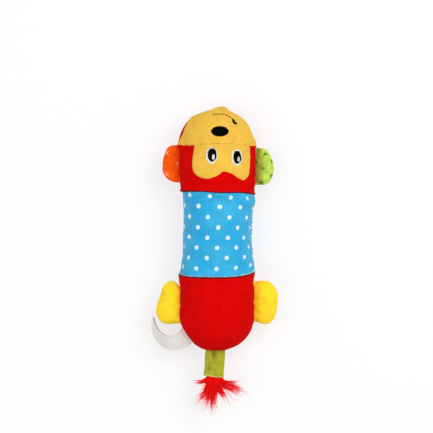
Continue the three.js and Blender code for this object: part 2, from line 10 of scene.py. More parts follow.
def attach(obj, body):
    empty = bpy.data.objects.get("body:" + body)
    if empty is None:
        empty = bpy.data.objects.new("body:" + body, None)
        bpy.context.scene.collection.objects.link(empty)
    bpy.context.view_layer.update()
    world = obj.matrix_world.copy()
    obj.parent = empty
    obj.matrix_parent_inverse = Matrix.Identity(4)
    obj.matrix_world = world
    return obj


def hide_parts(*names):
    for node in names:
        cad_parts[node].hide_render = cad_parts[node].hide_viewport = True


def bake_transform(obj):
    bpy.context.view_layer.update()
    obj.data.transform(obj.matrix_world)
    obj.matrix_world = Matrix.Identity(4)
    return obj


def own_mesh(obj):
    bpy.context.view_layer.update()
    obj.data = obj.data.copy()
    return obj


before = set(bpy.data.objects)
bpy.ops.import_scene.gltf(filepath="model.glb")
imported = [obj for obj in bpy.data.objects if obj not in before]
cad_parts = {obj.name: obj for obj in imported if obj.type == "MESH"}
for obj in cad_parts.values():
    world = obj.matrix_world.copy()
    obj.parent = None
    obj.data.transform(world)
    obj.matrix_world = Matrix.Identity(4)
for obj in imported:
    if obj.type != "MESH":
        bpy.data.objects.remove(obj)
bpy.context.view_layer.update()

MM = 0.001
RNG = np.random.RandomState(11)

# Sizes of the model, in millimetres
AXIS_Z = 23.0  # height of the side seams
SEAM = 31.0  # neck and waist seams lie this far from the middle of the belly
MUZZLE_SEAM = 65.2
MUZZLE_LENGTH = 28.1
TIP_DROOP = 2.4  # how far the muzzle's tip hangs
HIP_ROUND = 58.0  # where the hip's end starts to round off
HIP_END = 27.0
BODY_UP = 23.1  # the head and the hip over the side seams, and under them
BODY_DOWN = 23.3
BELLY_TALL = 21.9
BELLY_WIDE = 26.0
HALF_WIDE = 28.4  # half of the body's width at the ring seams
GIRTH_RADIUS = 25.0  # of a round body with the same girth
BODY_CLOTH = 0.6  # thickness
LIMB_CLOTH = 0.5
LIMB_X = 28.5  # where the limbs' roots lie
ROOT_X = -2.6  # how far in a limb's root is sewn
TAIL_X = -1.5
TAIL_TOP = -85.0
TAIL_LENGTH = 19.4
HEM_Y = TAIL_TOP - TAIL_LENGTH
SQUEAKER_Y = 15.5
PRESS_TRAVEL = 7.0
PRESS_END = 26.5  # the pressed stuffing ends this far from the middle
FLAT_UNIT = 100.0  # of flat cloth in one unit of its map

# Colours, as sRGB
RED = (214, 2, 3)
YELLOW = (235, 187, 72)
BLUE = (44, 172, 219)
DEEP_BLUE = (6, 162, 222)
DOT = (216, 236, 243)
ORANGE = (255, 88, 0)
CROSS = (255, 202, 150)
GREEN = (186, 216, 84)
TRIANGLE = (58, 138, 40)
LEMON = (255, 220, 46)
OLIVE = (178, 180, 42)
HEM = (216, 204, 96)
TUFT_RED = (255, 14, 12)
SATIN = (233, 230, 224)
BLACK = (2, 2, 2)
WHITE = (250, 243, 228)
FILL = (240, 240, 236)


def linear(rgb, scale=1.0):
    def channel(c):
        c = min(1.0, max(0.0, c * scale / 255))
        return c / 12.92 if c <= 0.04045 else ((c + 0.055) / 1.055) ** 2.4

    return (*[channel(c) for c in rgb], 1.0)


def smooth(t):
    t = np.clip(t, 0, 1)
    return t * t * (3 - 2 * t)


def bell(x, width):
    """1 where x is 0, falling off over the width."""
    return np.exp(-((x / width) ** 2))


def unit(vectors):
    """Vectors made one long."""
    return vectors / (np.linalg.norm(vectors, axis=-1, keepdims=True) + 1e-6)


def noise_at(points, scale, seed=0.0):
    """Smooth noise from -1 to 1 at points in millimetres, with features of about the scale."""
    shift = Vector((seed * 7.31, seed * 3.77, seed * 5.13))
    flat = np.asarray(points, float).reshape(-1, 3) / scale
    values = [noise.noise(Vector(p) + shift) for p in flat]
    return np.array(values).reshape(np.asarray(points).shape[:-1])


# Materials


class Shader:
    """A material built up from nodes, with its Principled shader."""

    def __init__(self, name, **sockets):
        self.material = bpy.data.materials.new(name)
        self.material.use_nodes = True
        self.tree = self.material.node_tree
        self.surface = self.tree.nodes["Principled BSDF"]
        for key, value in sockets.items():
            self.set(self.surface, key.replace("_", " "), value)

    def set(self, node, key, value):
        if isinstance(value, bpy.types.NodeSocket):
            self.tree.links.new(value, node.inputs[key])
        else:
            node.inputs[key].default_value = value

    def add(self, kind, inputs=None, out=0, **settings):
        made = self.tree.nodes.new("ShaderNode" + kind)
        for key, value in settings.items():
            setattr(made, key, value)
        for key, value in (inputs or {}).items():
            self.set(made, key, value)
        return made.outputs[out]

    def math(self, operation, a, b=0.0, c=0.0):
        return self.add("Math", {0: a, 1: b, 2: c}, operation=operation)

    def place(self, scale):
        return self.add("Mapping", {"Vector": self.add("TexCoord", out="Object"), "Scale": scale})

    def grain(self, size, detail=2.0, stretch=(1, 1, 1), rough=0.55):
        """Noise with features of the size, in millimetres."""
        spot = self.place([s / (size * MM) for s in stretch])
        return self.add("TexNoise", {"Vector": spot, "Scale": 1.0, "Detail": detail, "Roughness": rough})

    def mix(self, share, a, b):
        return self.add("Mix", {0: share, 6: a, 7: b}, out=2, data_type="RGBA")

    def span(self, value, low, high, to_low=0.0, to_high=1.0):
        ends = {"From Min": low, "From Max": high, "To Min": to_low, "To Max": to_high}
        return self.add("MapRange", {"Value": value, **ends}, interpolation_type="SMOOTHSTEP")

    def tone(self, share, rgb, dark, light, low=0.3, high=0.7):
        """A colour from darker to lighter as the share goes from low to high."""
        return self.mix(self.span(share, low, high), linear(rgb, dark), linear(rgb, light))

    def bump(self, height, distance, strength):
        made = self.add("Bump", {"Height": height, "Distance": distance * MM, "Strength": strength})
        self.set(self.surface, "Normal", made)

    def colour(self, value):
        self.set(self.surface, "Base Color", value)

    def mix_in(self, share, other):
        """Lets a share of another shader into the surface."""
        both = self.add("MixShader", {0: share, 1: self.surface.outputs[0], 2: other})
        self.set(self.tree.nodes["Material Output"], "Surface", both)


def fabric(name, roughness, gloss, sheen, spread=0.4, **more):
    """A shader for cloth: the spread is how rough its sheen is."""
    plain = {"Roughness": roughness, "Specular_IOR_Level": gloss, "Sheen_Weight": sheen}
    return Shader(name, **plain, Sheen_Roughness=spread, **more)


def plush(name, rgb, dark, light, sheen, depth):
    """Short-pile plush: mottled where the pile lies one way or the other, with a fine nap."""
    s = fabric(name, 0.95, 0.05, sheen, 0.45, Sheen_Tint=linear(rgb, 1.15))
    lay = s.grain(7.0, 3.0, (1, 0.6, 1))
    nap = s.grain(0.8, 2.0, (1, 0.45, 1), 0.6)
    tone = s.tone(lay, rgb, 0.965, light, 0.3, 0.72)
    s.colour(s.mix(s.span(nap, 0.22, 0.55), linear(rgb, dark), tone))
    s.bump(s.math("MULTIPLY_ADD", lay, 0.3, nap), depth, 0.6)
    return s.material


def weave(s, pitch):
    """Height of a plain weave with the pitch, in millimetres."""
    spot = {"Vector": s.place([1 / (pitch * MM)] * 3), "Scale": 0.5, "Distortion": 0.4, "Detail": 1.0}
    return s.math("MAXIMUM", *[s.add("TexWave", spot, bands_direction=way) for way in ("X", "Y")])


def woven(s, pitch, size):
    """Lets the weave show, and an unevenness of the size."""
    s.bump(s.math("MULTIPLY_ADD", weave(s, pitch), 0.5, s.grain(size, 3.0)), 0.12, 0.5)


def cloth_place(s):
    """Where a point lies on the flat cloth, in millimetres across and along."""
    spot = s.add("VectorMath", {0: s.add("UVMap"), "Scale": FLAT_UNIT}, operation="SCALE")
    return [s.add("SeparateXYZ", {0: spot}, out=k) for k in (0, 1)]


def uneven(s, value, size, reach):
    """A place on the cloth moved a little, as a print that was laid by hand."""
    return s.math("MULTIPLY_ADD", s.math("SUBTRACT", s.grain(size, 0.0), 0.5), reach, value)


def lattice(s, across, along, start, pitch):
    """Distances across and along from the nearest point of a lattice."""
    ways = zip((across, along), start, pitch)
    return [s.math("WRAP", s.math("SUBTRACT", at, first), step / 2, -step / 2) for at, first, step in ways]


def lattice_pair(s, across, along, start, pitch):
    """A lattice, and the same one moved half a step both ways."""
    moved = [a + p / 2 for a, p in zip(start, pitch)]
    return lattice(s, across, along, start, pitch), lattice(s, across, along, moved, pitch)


def radius_of(s, pair):
    square = [s.math("MULTIPLY", p, p) for p in pair]
    return s.math("SQRT", s.math("ADD", *square))


def dotted_cotton(name):
    """Smooth blue cloth with white dots printed in staggered rows."""
    s = fabric(name, 0.62, 0.32, 0.18)
    across, along = cloth_place(s)
    across = uneven(s, s.math("MULTIPLY_ADD", along, -0.057, across), 14.0, 1.6)
    pair = lattice_pair(s, across, along, (-7.2, 27.8), (15.6, 15.1))
    near = s.math("MINIMUM", radius_of(s, pair[0]), radius_of(s, pair[1]))
    near = s.math("ADD", near, s.math("MULTIPLY", s.math("SUBTRACT", s.grain(1.2), 0.5), 0.5))
    blue = s.tone(s.grain(11.0, 3.0), BLUE, 0.95, 1.03, 0.35, 0.66)
    blue = s.mix(s.span(s.grain(19.0, 1.0), 0.42, 0.6, 0.0, 0.6), blue, linear(DEEP_BLUE))
    s.colour(s.mix(s.span(near, 1.4, 1.78, 1.0, 0.0), blue, linear(DOT)))
    woven(s, 0.42, 1.6)
    return s.material


def printed(s, size, rgb, dark, light, marks, strength, mark):
    """Cloth in one colour with marks printed on it in another."""
    base = s.tone(s.grain(size, 3.0), rgb, dark, light, 0.35, 0.66)
    share = s.math("MULTIPLY", s.math("MAXIMUM", *marks), strength)
    s.colour(s.mix(share, base, linear(mark)))
    woven(s, 0.4, 1.4)
    return s.material


def crossed_cloth(name):
    """Orange cloth with fine pale crosses."""
    s = fabric(name, 0.75, 0.12, 0.05)
    marks = []
    for pair in lattice_pair(s, *cloth_place(s), (-7.4, 7.6), (15.4, 15.4)):
        slants = [
            s.math("ABSOLUTE", s.math("MULTIPLY_ADD", pair[0], 0.8, s.math("MULTIPLY", pair[1], way)))
            for way in (0.6, -0.75)
        ]
        line = s.span(s.math("MINIMUM", *slants), 0.12, 0.34, 1.0, 0.0)
        marks.append(s.math("MULTIPLY", line, s.span(radius_of(s, pair), 1.9, 2.3, 1.0, 0.0)))
    return printed(s, 6.0, ORANGE, 0.93, 1.04, marks, 0.7, CROSS)


def triangle_cloth(name):
    """Light green cloth with dark green triangles."""
    s = fabric(name, 0.75, 0.12, 0.05)
    across, along = cloth_place(s)
    across = uneven(s, s.math("MULTIPLY_ADD", along, -0.135, across), 9.0, 1.2)
    marks = []
    for pair, turn in zip(lattice_pair(s, across, along, (5.4, -1.2), (11.4, 10.0)), (1.05, 1.4)):
        sides = []
        for k in range(3):
            angle = turn + k * 2 * math.pi / 3
            part = s.math("MULTIPLY", pair[1], math.sin(angle))
            sides.append(s.math("MULTIPLY_ADD", pair[0], math.cos(angle), part))
        reach = s.math("MAXIMUM", s.math("MAXIMUM", sides[0], sides[1]), sides[2])
        marks.append(s.span(uneven(s, reach, 4.0, 1.6), 0.75, 1.1, 1.0, 0.0))
    return printed(s, 5.0, GREEN, 0.92, 1.05, marks, 0.88, TRIANGLE)


def plain_cloth(name, rgb, dark, light, folds=0.0):
    """Woven cloth in one colour, with its threads and an uneven dye; where folds is given, painted shade
    darkens it at points marked as drawn into a crease.
    """
    s = fabric(name, 0.8, 0.2, 0.2)
    lay = s.grain(5.0, 4.0)
    threads = weave(s, 0.38)
    tone = s.mix(s.span(threads, 0.1, 0.8), linear(rgb, dark * 0.95), s.tone(lay, rgb, dark, light))
    if folds:
        # painted shade: each point's fold value darkens the cloth, standing in for the shadow in the tail's
        # creases
        deep = s.add("Attribute", attribute_name="fold", out="Fac")
        tone = s.mix(s.span(deep, 0.0, 1.0, 0.0, folds), tone, linear(rgb, 0.72))
    s.colour(tone)
    s.bump(s.math("MULTIPLY_ADD", threads, 0.7, lay), 0.14, 0.6)
    return s.material


def thread(name, rgb, roughness=0.42, gloss=0.5):
    """Twisted embroidery thread with a silky shine."""
    s = Shader(name, Roughness=roughness, Specular_IOR_Level=gloss)
    twist = s.grain(0.28, 2.0, (1, 0.3, 1))
    s.colour(s.tone(twist, rgb, 0.82, 1.08))
    s.bump(twist, 0.06, 0.5)
    return s.material


def ribbon_satin(name):
    """Thin white satin ribbon with a fine rib along it."""
    s = Shader(name, Roughness=0.38, Specular_IOR_Level=0.45, Sheen_Weight=0.15)
    across, _ = cloth_place(s)
    rib = s.math("SINE", s.math("MULTIPLY", across, 2 * math.pi / 0.35))
    lay = s.grain(9.0, 2.0)
    s.colour(s.tone(lay, SATIN, 0.985, 1.01))
    s.bump(s.math("MULTIPLY_ADD", rib, 0.25, lay), 0.03, 0.4)
    return s.material


def tuft_fibre(name):
    """Loose fibre that light passes through: strong red, fading to pink at the thin tips."""
    s = fabric(name, 0.8, 0.05, 0.5, 0.5, Sheen_Tint=linear((255, 90, 90)))
    tip = s.add("Attribute", attribute_name="tip", out="Fac")
    tone = s.tone(s.grain(3.0, 2.0), TUFT_RED, 0.96, 1.0)
    tone = s.mix(s.span(tip, 0.6, 1.0), tone, linear((255, 44, 52)))
    tone = s.mix(s.span(tip, 0.85, 1.15), tone, linear((250, 140, 156)))
    s.colour(tone)
    s.mix_in(0.15, s.add("BsdfTranslucent", {"Color": tone}))
    return s.material


def fill_fibre(name):
    """White stuffing, matted and uneven."""
    s = Shader(name, Roughness=1.0, Specular_IOR_Level=0.1, Sheen_Weight=0.4)
    wisp = s.grain(1.4, 4.0, (1, 0.5, 1))
    s.colour(s.tone(wisp, FILL, 0.88, 1.0))
    s.bump(wisp, 0.6, 0.8)
    return s.material


def thin_plastic(name, rgb, roughness=0.32, alpha=0.72):
    """Milky blown plastic with faint flow marks."""
    s = Shader(name, Roughness=roughness, Specular_IOR_Level=0.5, Alpha=alpha)
    flow = s.grain(3.0, 3.0, (1, 1, 0.3))
    s.colour(s.tone(flow, rgb, 0.92, 1.0))
    s.bump(flow, 0.08, 0.4)
    return s.material


M = {
    "red": plush("red_plush", RED, 0.9, 1.03, 0.06, 0.3),
    "yellow": plush("yellow_plush", YELLOW, 0.93, 1.03, 0.15, 0.35),
    "lemon": plush("lemon_plush", LEMON, 0.95, 1.01, 0.15, 0.2),
    "blue": dotted_cotton("blue_dot_cloth"),
    "orange": crossed_cloth("orange_print"),
    "green": triangle_cloth("green_print"),
    # the tail's cloth, with painted shade in its creases
    "olive": plain_cloth("olive_cloth", OLIVE, 0.92, 1.05, 0.75),
    "hem": plain_cloth("hem_cloth", HEM, 0.9, 1.05),
    "tuft": tuft_fibre("tuft_fibre"),
    "binding": thread("binding_thread", (176, 12, 16)),
    "satin": ribbon_satin("label_satin"),
    "black": thread("black_thread", BLACK, 0.8, 0.08),
    "white": thread("white_thread", WHITE, 0.5, 0.35),
    "seam_blue": thread("seam_thread", (40, 140, 205)),
    "fray": thread("frayed_cloth", (206, 226, 236), 0.7, 0.2),
    # loose ends at the neck are real pile; their dark colour is painted shade under the red hem
    "shaded_fray": thread("frayed_plush_in_painted_shade", (96, 40, 70), 0.8, 0.15),
    # dark thread for the ring seams' grooves: painted shade
    "seam_dark": thread("groove_shade_thread", (60, 10, 28), 0.8, 0.1),
    # dark yellow dashes on the muzzle's seam: painted shade in the seam's gaps
    "seam_yellow": thread("seam_gap_shade_thread", (168, 118, 34)),
    "fill": fill_fibre("fibre_fill"),
    "bulb": thin_plastic("squeaker_plastic", (232, 238, 236)),
    "whistle": thin_plastic("whistle_plastic", (240, 241, 238), 0.4, 0.95),
    "reed": thin_plastic("reed_film", (214, 206, 178), 0.3, 0.9),
}


# Meshes


def link(name, data):
    obj = bpy.data.objects.new(name, data)
    bpy.context.scene.collection.objects.link(obj)
    return obj


def shade_smooth(mesh):
    mesh.polygons.foreach_set("use_smooth", [True] * len(mesh.polygons))


def make(name, points, faces, look, smooth_faces=True):
    """A mesh object from points in millimetres, with its material."""
    mesh = bpy.data.meshes.new(name)
    mesh.from_pydata((np.asarray(points, float) * MM).tolist(), [], [list(map(int, f)) for f in faces])
    mesh.validate()
    mesh.update()
    mesh.materials.append(M[look])
    if smooth_faces:
        shade_smooth(mesh)
    obj = link(name, mesh)
    return obj


def carried(obj, body, node):
    """Lets a piece move with a body, in place of a node."""
    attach(obj, body)
    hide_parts(node)


def points_of(obj):
    flat = np.zeros(len(obj.data.vertices) * 3)
    obj.data.vertices.foreach_get("co", flat)
    return flat.reshape(-1, 3) / MM


def set_points(obj, points):
    obj.data.vertices.foreach_set("co", (np.asarray(points) * MM).ravel())
    obj.data.update()


def mark(obj, name, values):
    """Gives each point a value that its material reads."""
    made = obj.data.attributes.new(name, "FLOAT", "POINT")
    made.data.foreach_set("value", np.asarray(values, np.float32))


def lay_out(obj, flat):
    """Gives each point its place on the flat cloth, in millimetres."""
    layer = obj.data.uv_layers.new(name="UVMap")
    index = np.zeros(len(obj.data.loops), int)
    obj.data.loops.foreach_get("vertex_index", index)
    layer.data.foreach_set("uv", (np.asarray(flat, float)[index] / FLAT_UNIT).ravel())


def settle(obj):
    """Applies the modifiers of an object."""
    graph = bpy.context.evaluated_depsgraph_get()
    done = bpy.data.meshes.new_from_object(obj.evaluated_get(graph))
    obj.modifiers.clear()
    old = obj.data
    obj.data = done
    done.name = obj.name
    bpy.data.meshes.remove(old)


def mend(obj, wind=True):
    """Merges points that meet and, where asked, winds each face so that it faces out."""
    tidy = bmesh.new()
    tidy.from_mesh(obj.data)
    bmesh.ops.remove_doubles(tidy, verts=tidy.verts, dist=2e-6)
    if wind:
        bmesh.ops.recalc_face_normals(tidy, faces=tidy.faces)
    tidy.to_mesh(obj.data)
    tidy.free()


def solidify(obj, thickness):
    """Gives a sheet its thickness, inwards."""
    made = obj.modifiers.new("thickness", "SOLIDIFY")
    made.thickness = thickness * MM
    made.offset = -1
    settle(obj)


def thicken(obj, thickness):
    """Mends a sheet and gives it its thickness."""
    mend(obj)
    solidify(obj, thickness)


def crisp(obj):
    """Keeps the edges of a cut sheet from being shaded as one round."""
    obj.data.set_sharp_from_angle(angle=math.radians(55))


def grid_faces(rows, cols, closed=False, first=0):
    """Quads of a grid of points from the first; closed joins the last column to the first."""
    faces = []
    for r in range(first, first + (rows - 1) * cols, cols):
        for c in range(cols if closed else cols - 1):
            d = (c + 1) % cols
            faces.append((r + c, r + d, r + cols + d, r + cols + c))
    return faces


def tree_of(points, faces):
    """A surface that can be searched."""
    return BVHTree.FromPolygons([Vector(p) for p in points], faces)


def tubes(paths, radii, sides=6, flat=1.0):
    """Points and faces of closed tubes along paths, each with a radius at every point."""
    points, faces = [], []
    angles = np.arange(sides) * 2 * math.pi / sides
    for path, radius in zip(paths, radii):
        path = np.asarray(path, float)
        along = unit(np.gradient(path, axis=0))
        up = np.array([0.0, 1.0, 0.0] if abs(along[:, 2]).mean() > 0.8 else [0.0, 0.0, 1.0])
        across = unit(np.cross(along, up))
        over = np.cross(across, along)
        first = len(points)
        for k, p in enumerate(path):
            for a in angles:
                points.append(p + radius[k] * (math.cos(a) * across[k] + flat * math.sin(a) * over[k]))
        faces += [f[::-1] for f in grid_faces(len(path), sides, True, first)]
        faces.append(tuple(range(first, first + sides)))
        faces.append(tuple(range(len(points) - sides, len(points)))[::-1])
    return points, faces


def run_along(line):
    """Length of a line from its start to each of its points."""
    return np.concatenate([[0], np.cumsum(np.linalg.norm(np.diff(line, axis=0), axis=1))])


def spline(points, count, closed=False):
    """Evenly spread points along a smooth line through the given ones."""
    p = np.asarray(points, float)
    n = len(p)
    fine = []
    for i in range(n if closed else n - 1):
        picks = [i - 1, i, i + 1, i + 2]
        a, b, c, d = [p[k % n] if closed else p[min(max(k, 0), n - 1)] for k in picks]
        for t in np.linspace(0, 1, 12, endpoint=False):
            curve = (2 * a - 5 * b + 4 * c - d) * t**2 + (3 * b - a - 3 * c + d) * t**3
            fine.append(0.5 * (2 * b + (c - a) * t + curve))
    fine = np.array(fine + [p[0] if closed else p[-1]])
    run = run_along(fine)
    wanted = np.linspace(0, run[-1], count + 1 if closed else count)
    out = np.stack([np.interp(wanted, run, fine[:, k]) for k in range(fine.shape[1])], 1)
    return out[:-1] if closed else out


# Cloth

SIM_SCALE = 10.0


def turned_out(points, faces):
    """The faces of a closed surface, each wound so that it faces out."""
    tidy = bmesh.new()
    for p in points:
        tidy.verts.new(p)
    tidy.verts.ensure_lookup_table()
    for f in faces:
        tidy.faces.new([tidy.verts[i] for i in f])
    bmesh.ops.recalc_face_normals(tidy, faces=tidy.faces)
    out = [[v.index for v in f.verts] for f in tidy.faces]
    tidy.free()
    return out


def inflate(points, faces, pinned, pressure, grow, cap, frames=20, stiffness=12.0):
    """Lets air swell a closed cloth that is held at its seams; returns where its points come to rest."""
    points = np.asarray(points, float)
    faces = turned_out(points, faces)
    mesh = bpy.data.meshes.new("air")
    mesh.from_pydata((points * MM * SIM_SCALE).tolist(), [], [list(map(int, f)) for f in faces])
    mesh.update()
    obj = link("air", mesh)
    scene = bpy.context.scene
    group = obj.vertex_groups.new(name="pinned")
    group.add([int(i) for i in pinned], 1.0, "REPLACE")
    cloth = obj.modifiers.new("cloth", "CLOTH")
    c = cloth.settings
    c.quality = 6
    c.mass = 0.3
    c.tension_stiffness = stiffness
    c.compression_stiffness = stiffness
    c.shear_stiffness = stiffness / 3
    c.bending_stiffness = 0.4
    c.air_damping = 2.0
    c.use_pressure = True
    c.uniform_pressure_force = pressure
    c.vertex_group_mass = "pinned"
    c.pin_stiffness = 1.0
    c.shrink_min = -grow
    c.effector_weights.gravity = 0
    cloth.collision_settings.use_collision = False
    cloth.point_cache.frame_start = 1
    cloth.point_cache.frame_end = frames
    for f in range(1, frames + 1):
        scene.frame_set(f)
    graph = bpy.context.evaluated_depsgraph_get()
    done = obj.evaluated_get(graph).to_mesh()
    flat = np.zeros(len(done.vertices) * 3)
    done.vertices.foreach_get("co", flat)
    bpy.data.objects.remove(obj)
    scene.frame_set(1)
    move = flat.reshape(-1, 3) / (MM * SIM_SCALE) - points
    far = np.linalg.norm(move, axis=1)[:, None]
    return points + move * np.minimum(1, cap / np.maximum(far, 1e-9))


# Body: one grid of points round the toy and along it, swelled as cloth and then cut at its seams

COLS = 128
HALF = COLS // 2
FRONT = np.arange(0, HALF + 1)
ANGLE = np.arange(COLS) * 2 * math.pi / COLS
SIDE_GAP = np.abs(np.sin(ANGLE)) * GIRTH_RADIUS  # how far each column lies from the nearer side seam


def bump_near(y, middle, width):
    return np.maximum(0, 1 - ((y - middle) / width) ** 2) ** 2


def outline_of(table):
    """A smooth line through rows of how far along, the left edge and the right edge."""
    return spline(np.array(table), 240)


# The toy's outline seen from the front
HIP_EDGE = outline_of(
    [
        (-85.3, -2.0, 1.6), (-84.9, -6.4, 5.4), (-84.3, -9.4, 8.0), (-83.2, -12.6, 11.2),
        (-80.7, -16.8, 16.7), (-76.3, -20.6, 21.9), (-71.9, -23.7, 25.0), (-67.5, -26.3, 27.0),
        (-63.0, -27.7, 28.2), (-56.0, -28.1, 28.5), (-46.0, -28.0, 28.5), (-38.5, -28.2, 28.3),
        (-35.0, -28.7, 28.3), (-32.4, -29.0, 28.5), (-31.0, -28.6, 28.1),
    ]
)
BELLY_EDGE = outline_of(
    [
        (-31.0, -28.0, 27.7), (-28.0, -27.6, 28.2), (-24.5, -27.0, 28.2), (-17.5, -26.2, 27.4),
        (-8.0, -25.8, 26.3), (2.0, -25.5, 26.5), (14.0, -25.5, 27.2), (24.0, -25.8, 28.2),
        (28.0, -26.0, 28.2), (31.0, -26.2, 27.6),
    ]
)
HEAD_EDGE = outline_of(
    [
        (31.0, -27.5, 28.4), (36.0, -27.9, 28.5), (45.0, -28.5, 28.8), (56.0, -28.6, 28.8),
        (61.0, -29.0, 28.8), (65.2, -29.6, 29.0), (67.0, -29.2, 28.7), (69.4, -28.4, 27.9),
        (73.6, -26.9, 26.0), (77.4, -25.2, 24.2), (81.3, -23.0, 22.0), (84.0, -21.0, 19.2),
        (85.4, -19.4, 17.4), (86.4, -17.7, 16.0), (87.3, -15.2, 14.5), (88.2, -12.6, 12.7),
        (89.1, -9.7, 10.8), (89.9, -7.2, 9.4), (90.6, -5.2, 8.5), (91.4, -3.3, 7.8), (92.1, -1.6, 7.2),
        (92.6, -0.4, 6.6), (92.9, 1.0, 6.0), (93.2, 2.4, 5.2),
    ]
)


def section_of(table, y):
    """The middle of an outline at a place along the body, and half of its width."""
    left, right = [np.interp(y, table[:, 0], table[:, k]) for k in (1, 2)]
    return (left + right) / 2, (right - left) / 2


def end_size(edge, y, into, power):
    """A section of a rounded end: its middle, half of its width, its height and its depth."""
    share = max(0.0, 1 - max(0.0, into) ** power) ** 0.5
    return *section_of(edge, y), BODY_UP * share, BODY_DOWN * share


def hip_size(y):
    return end_size(HIP_EDGE, y, (-HIP_ROUND - y) / HIP_END, 2.3)


def head_size(y):
    return end_size(HEAD_EDGE, y, (y - MUZZLE_SEAM) / MUZZLE_LENGTH, 1.9)


def belly_size(y):
    middle = 1 - (y / SEAM) ** 2
    gap = abs(y) - SEAM
    flare = 0.7 * bell(gap, 4) - 0.5 * bell(gap, 0.8)
    return *section_of(BELLY_EDGE, y), BELLY_TALL + flare, BELLY_TALL + 1.3 * middle**3 + flare


def body_rows():
    """Places along the body with the size of each section, and the row at each seam."""
    hip = [-HIP_ROUND - HIP_END * math.cos(t) for t in np.radians(np.linspace(3, 90, 24))]
    hip += list(np.linspace(-HIP_ROUND, -SEAM, 22)[1:])
    belly = np.linspace(-SEAM, SEAM, 50)
    head = np.linspace(SEAM, MUZZLE_SEAM, 28)
    muzzle = [MUZZLE_SEAM + MUZZLE_LENGTH * math.sin(t) for t in np.radians(np.linspace(0, 87, 25))[1:]]
    rows = [(y, *hip_size(y)) for y in hip] + [(y, *belly_size(y)) for y in belly]
    rows += [(y, *head_size(y)) for y in (*head, *muzzle)]
    neck = len(hip) + len(belly)
    return np.array(rows), {"waist": len(hip) - 1, "neck": neck, "muzzle": neck + len(head) - 1}


ROWS, SEAMS = body_rows()
SWELL = np.clip((ROWS[:, 2] - 3) / 9, 0, 1)[:, None]  # how far the cloth may move: less at the ends


# How far along a ring seam lies from its plain place: places across the front, and the shift at each
MUZZLE_LINE = [
    (-28.4, 0.3), (-24.0, -0.5), (-19.0, -0.8), (-10.0, 0.0), (0.0, 0.5), (10.0, 0.4), (19.0, -0.4),
    (24.0, -0.8), (28.4, -0.6),
]
NECK_LINE = [
    (-28.4, 0.6), (-20.0, 0.65), (-11.5, 0.5), (-6.3, 0.2), (-0.8, -0.25), (5.7, -0.45), (10.0, -0.3),
    (14.3, -0.1), (18.6, -0.25), (22.9, -0.75), (25.5, -1.2), (28.4, -1.7),
]
WAIST_LINE = [
    (-28.4, 0.85), (-26.6, 0.4), (-24.9, -0.1), (-20.1, -0.75), (-13.7, -1.05), (-7.2, -1.15),
    (-0.8, -1.15), (5.7, -1.05), (10.0, -0.85), (14.3, -0.55), (18.6, -0.1), (22.9, 0.8), (25.1, 1.6),
    (26.8, 2.4), (28.4, 2.9),
]


def wander(line, x):
    return np.interp(x, *np.array(line).T)


def seam_shift(y, angle):
    """How far the ring seams wander along the body."""
    across = HALF_WIDE * np.cos(angle)
    behind = np.maximum(0, -np.sin(angle))
    waist = np.where(behind > 0, 1.87 + 1.03 * np.cos(angle) - 1.6 * behind, wander(WAIST_LINE, across))
    neck = np.where(behind > 0, -0.55 - 1.15 * np.cos(angle) + 0.4 * behind, wander(NECK_LINE, across))
    muzzle = np.where(behind > 0, -0.15 - 0.45 * np.cos(angle), wander(MUZZLE_LINE, across))
    out = waist * bump_near(y, -SEAM, 16) + neck * bump_near(y, SEAM, 16)
    return out + muzzle * bump_near(y, MUZZLE_SEAM, 14)


def seam_turn(y, angle):
    """How far the side seams swing round at the muzzle: to the back, and first to the front on the left."""
    left = np.maximum(0, -np.cos(angle)) ** 2
    right = np.maximum(0, np.cos(angle)) ** 2
    forward = 0.27 * left * bump_near(y, 75.0, 11.0)
    return 0.3 * (left * smooth((y - 82) / 6) - right * smooth((y - 65) / 5)) - forward


def body_points():
    """The body's points before its cloth swells."""
    y, x, wide, up, down = [ROWS[:, k][:, None] for k in range(5)]
    angle = ANGLE + seam_turn(y, ANGLE)
    rise = np.sin(angle)
    groove = 1 - 0.032 * bell(SIDE_GAP, 2.2)
    droop = np.where(y > MUZZLE_SEAM, TIP_DROOP * np.maximum(0, 1 - up / 16) ** 2, 0)
    across = x + wide * groove * np.cos(angle)
    tall = AXIS_Z - droop + np.where(rise > 0, up, down) * rise
    return np.stack([across, y + seam_shift(y, ANGLE), tall], 2)


def outward_of(points):
    """The way out of the body at each point, square to its length."""
    out = points - np.stack([ROWS[:, 1], ROWS[:, 0], np.full(len(ROWS), AXIS_Z)], 1)[:, None, :]
    out[..., 1] = 0
    return unit(out)


def body_cloth():
    """The body's points when its cloth has swelled, and its two ends."""
    points = body_points()
    rows = len(ROWS)
    pole = np.array(
        [[-0.3, -HIP_ROUND - HIP_END - 0.3, AXIS_Z], [4.0, MUZZLE_SEAM + MUZZLE_LENGTH, AXIS_Z - TIP_DROOP]]
    )
    slack = np.full((rows, COLS), 0.6)
    slack[[SEAMS["waist"], SEAMS["waist"] + 1, SEAMS["neck"], SEAMS["neck"] - 1]] = 0
    slack[SEAMS["muzzle"], FRONT] = 0
    slack[:, [0, HALF]] = 0
    ruffle = noise_at(points, 5.0, 1.0) * 0.25
    start = points - outward_of(points) * (slack * (1 + ruffle))[..., None]
    faces = grid_faces(rows, COLS, True)
    first, last = rows * COLS, rows * COLS + 1
    base = (rows - 1) * COLS
    for c in range(COLS):
        d = (c + 1) % COLS
        faces += [(first, d, c), (last, base + c, base + d)]
    pinned = [*np.flatnonzero(slack == 0), first, last]
    done = inflate(np.concatenate([start.reshape(-1, 3), pole]), faces, pinned, 3.0, 0.02, 1.3)
    move = done[:-2].reshape(rows, COLS, 3) - points
    even = move.mean(axis=1, keepdims=True) * np.array([0, 1, 0])
    return points + even + (move - even) * SWELL[..., None], pole + even[[0, -1], 0]


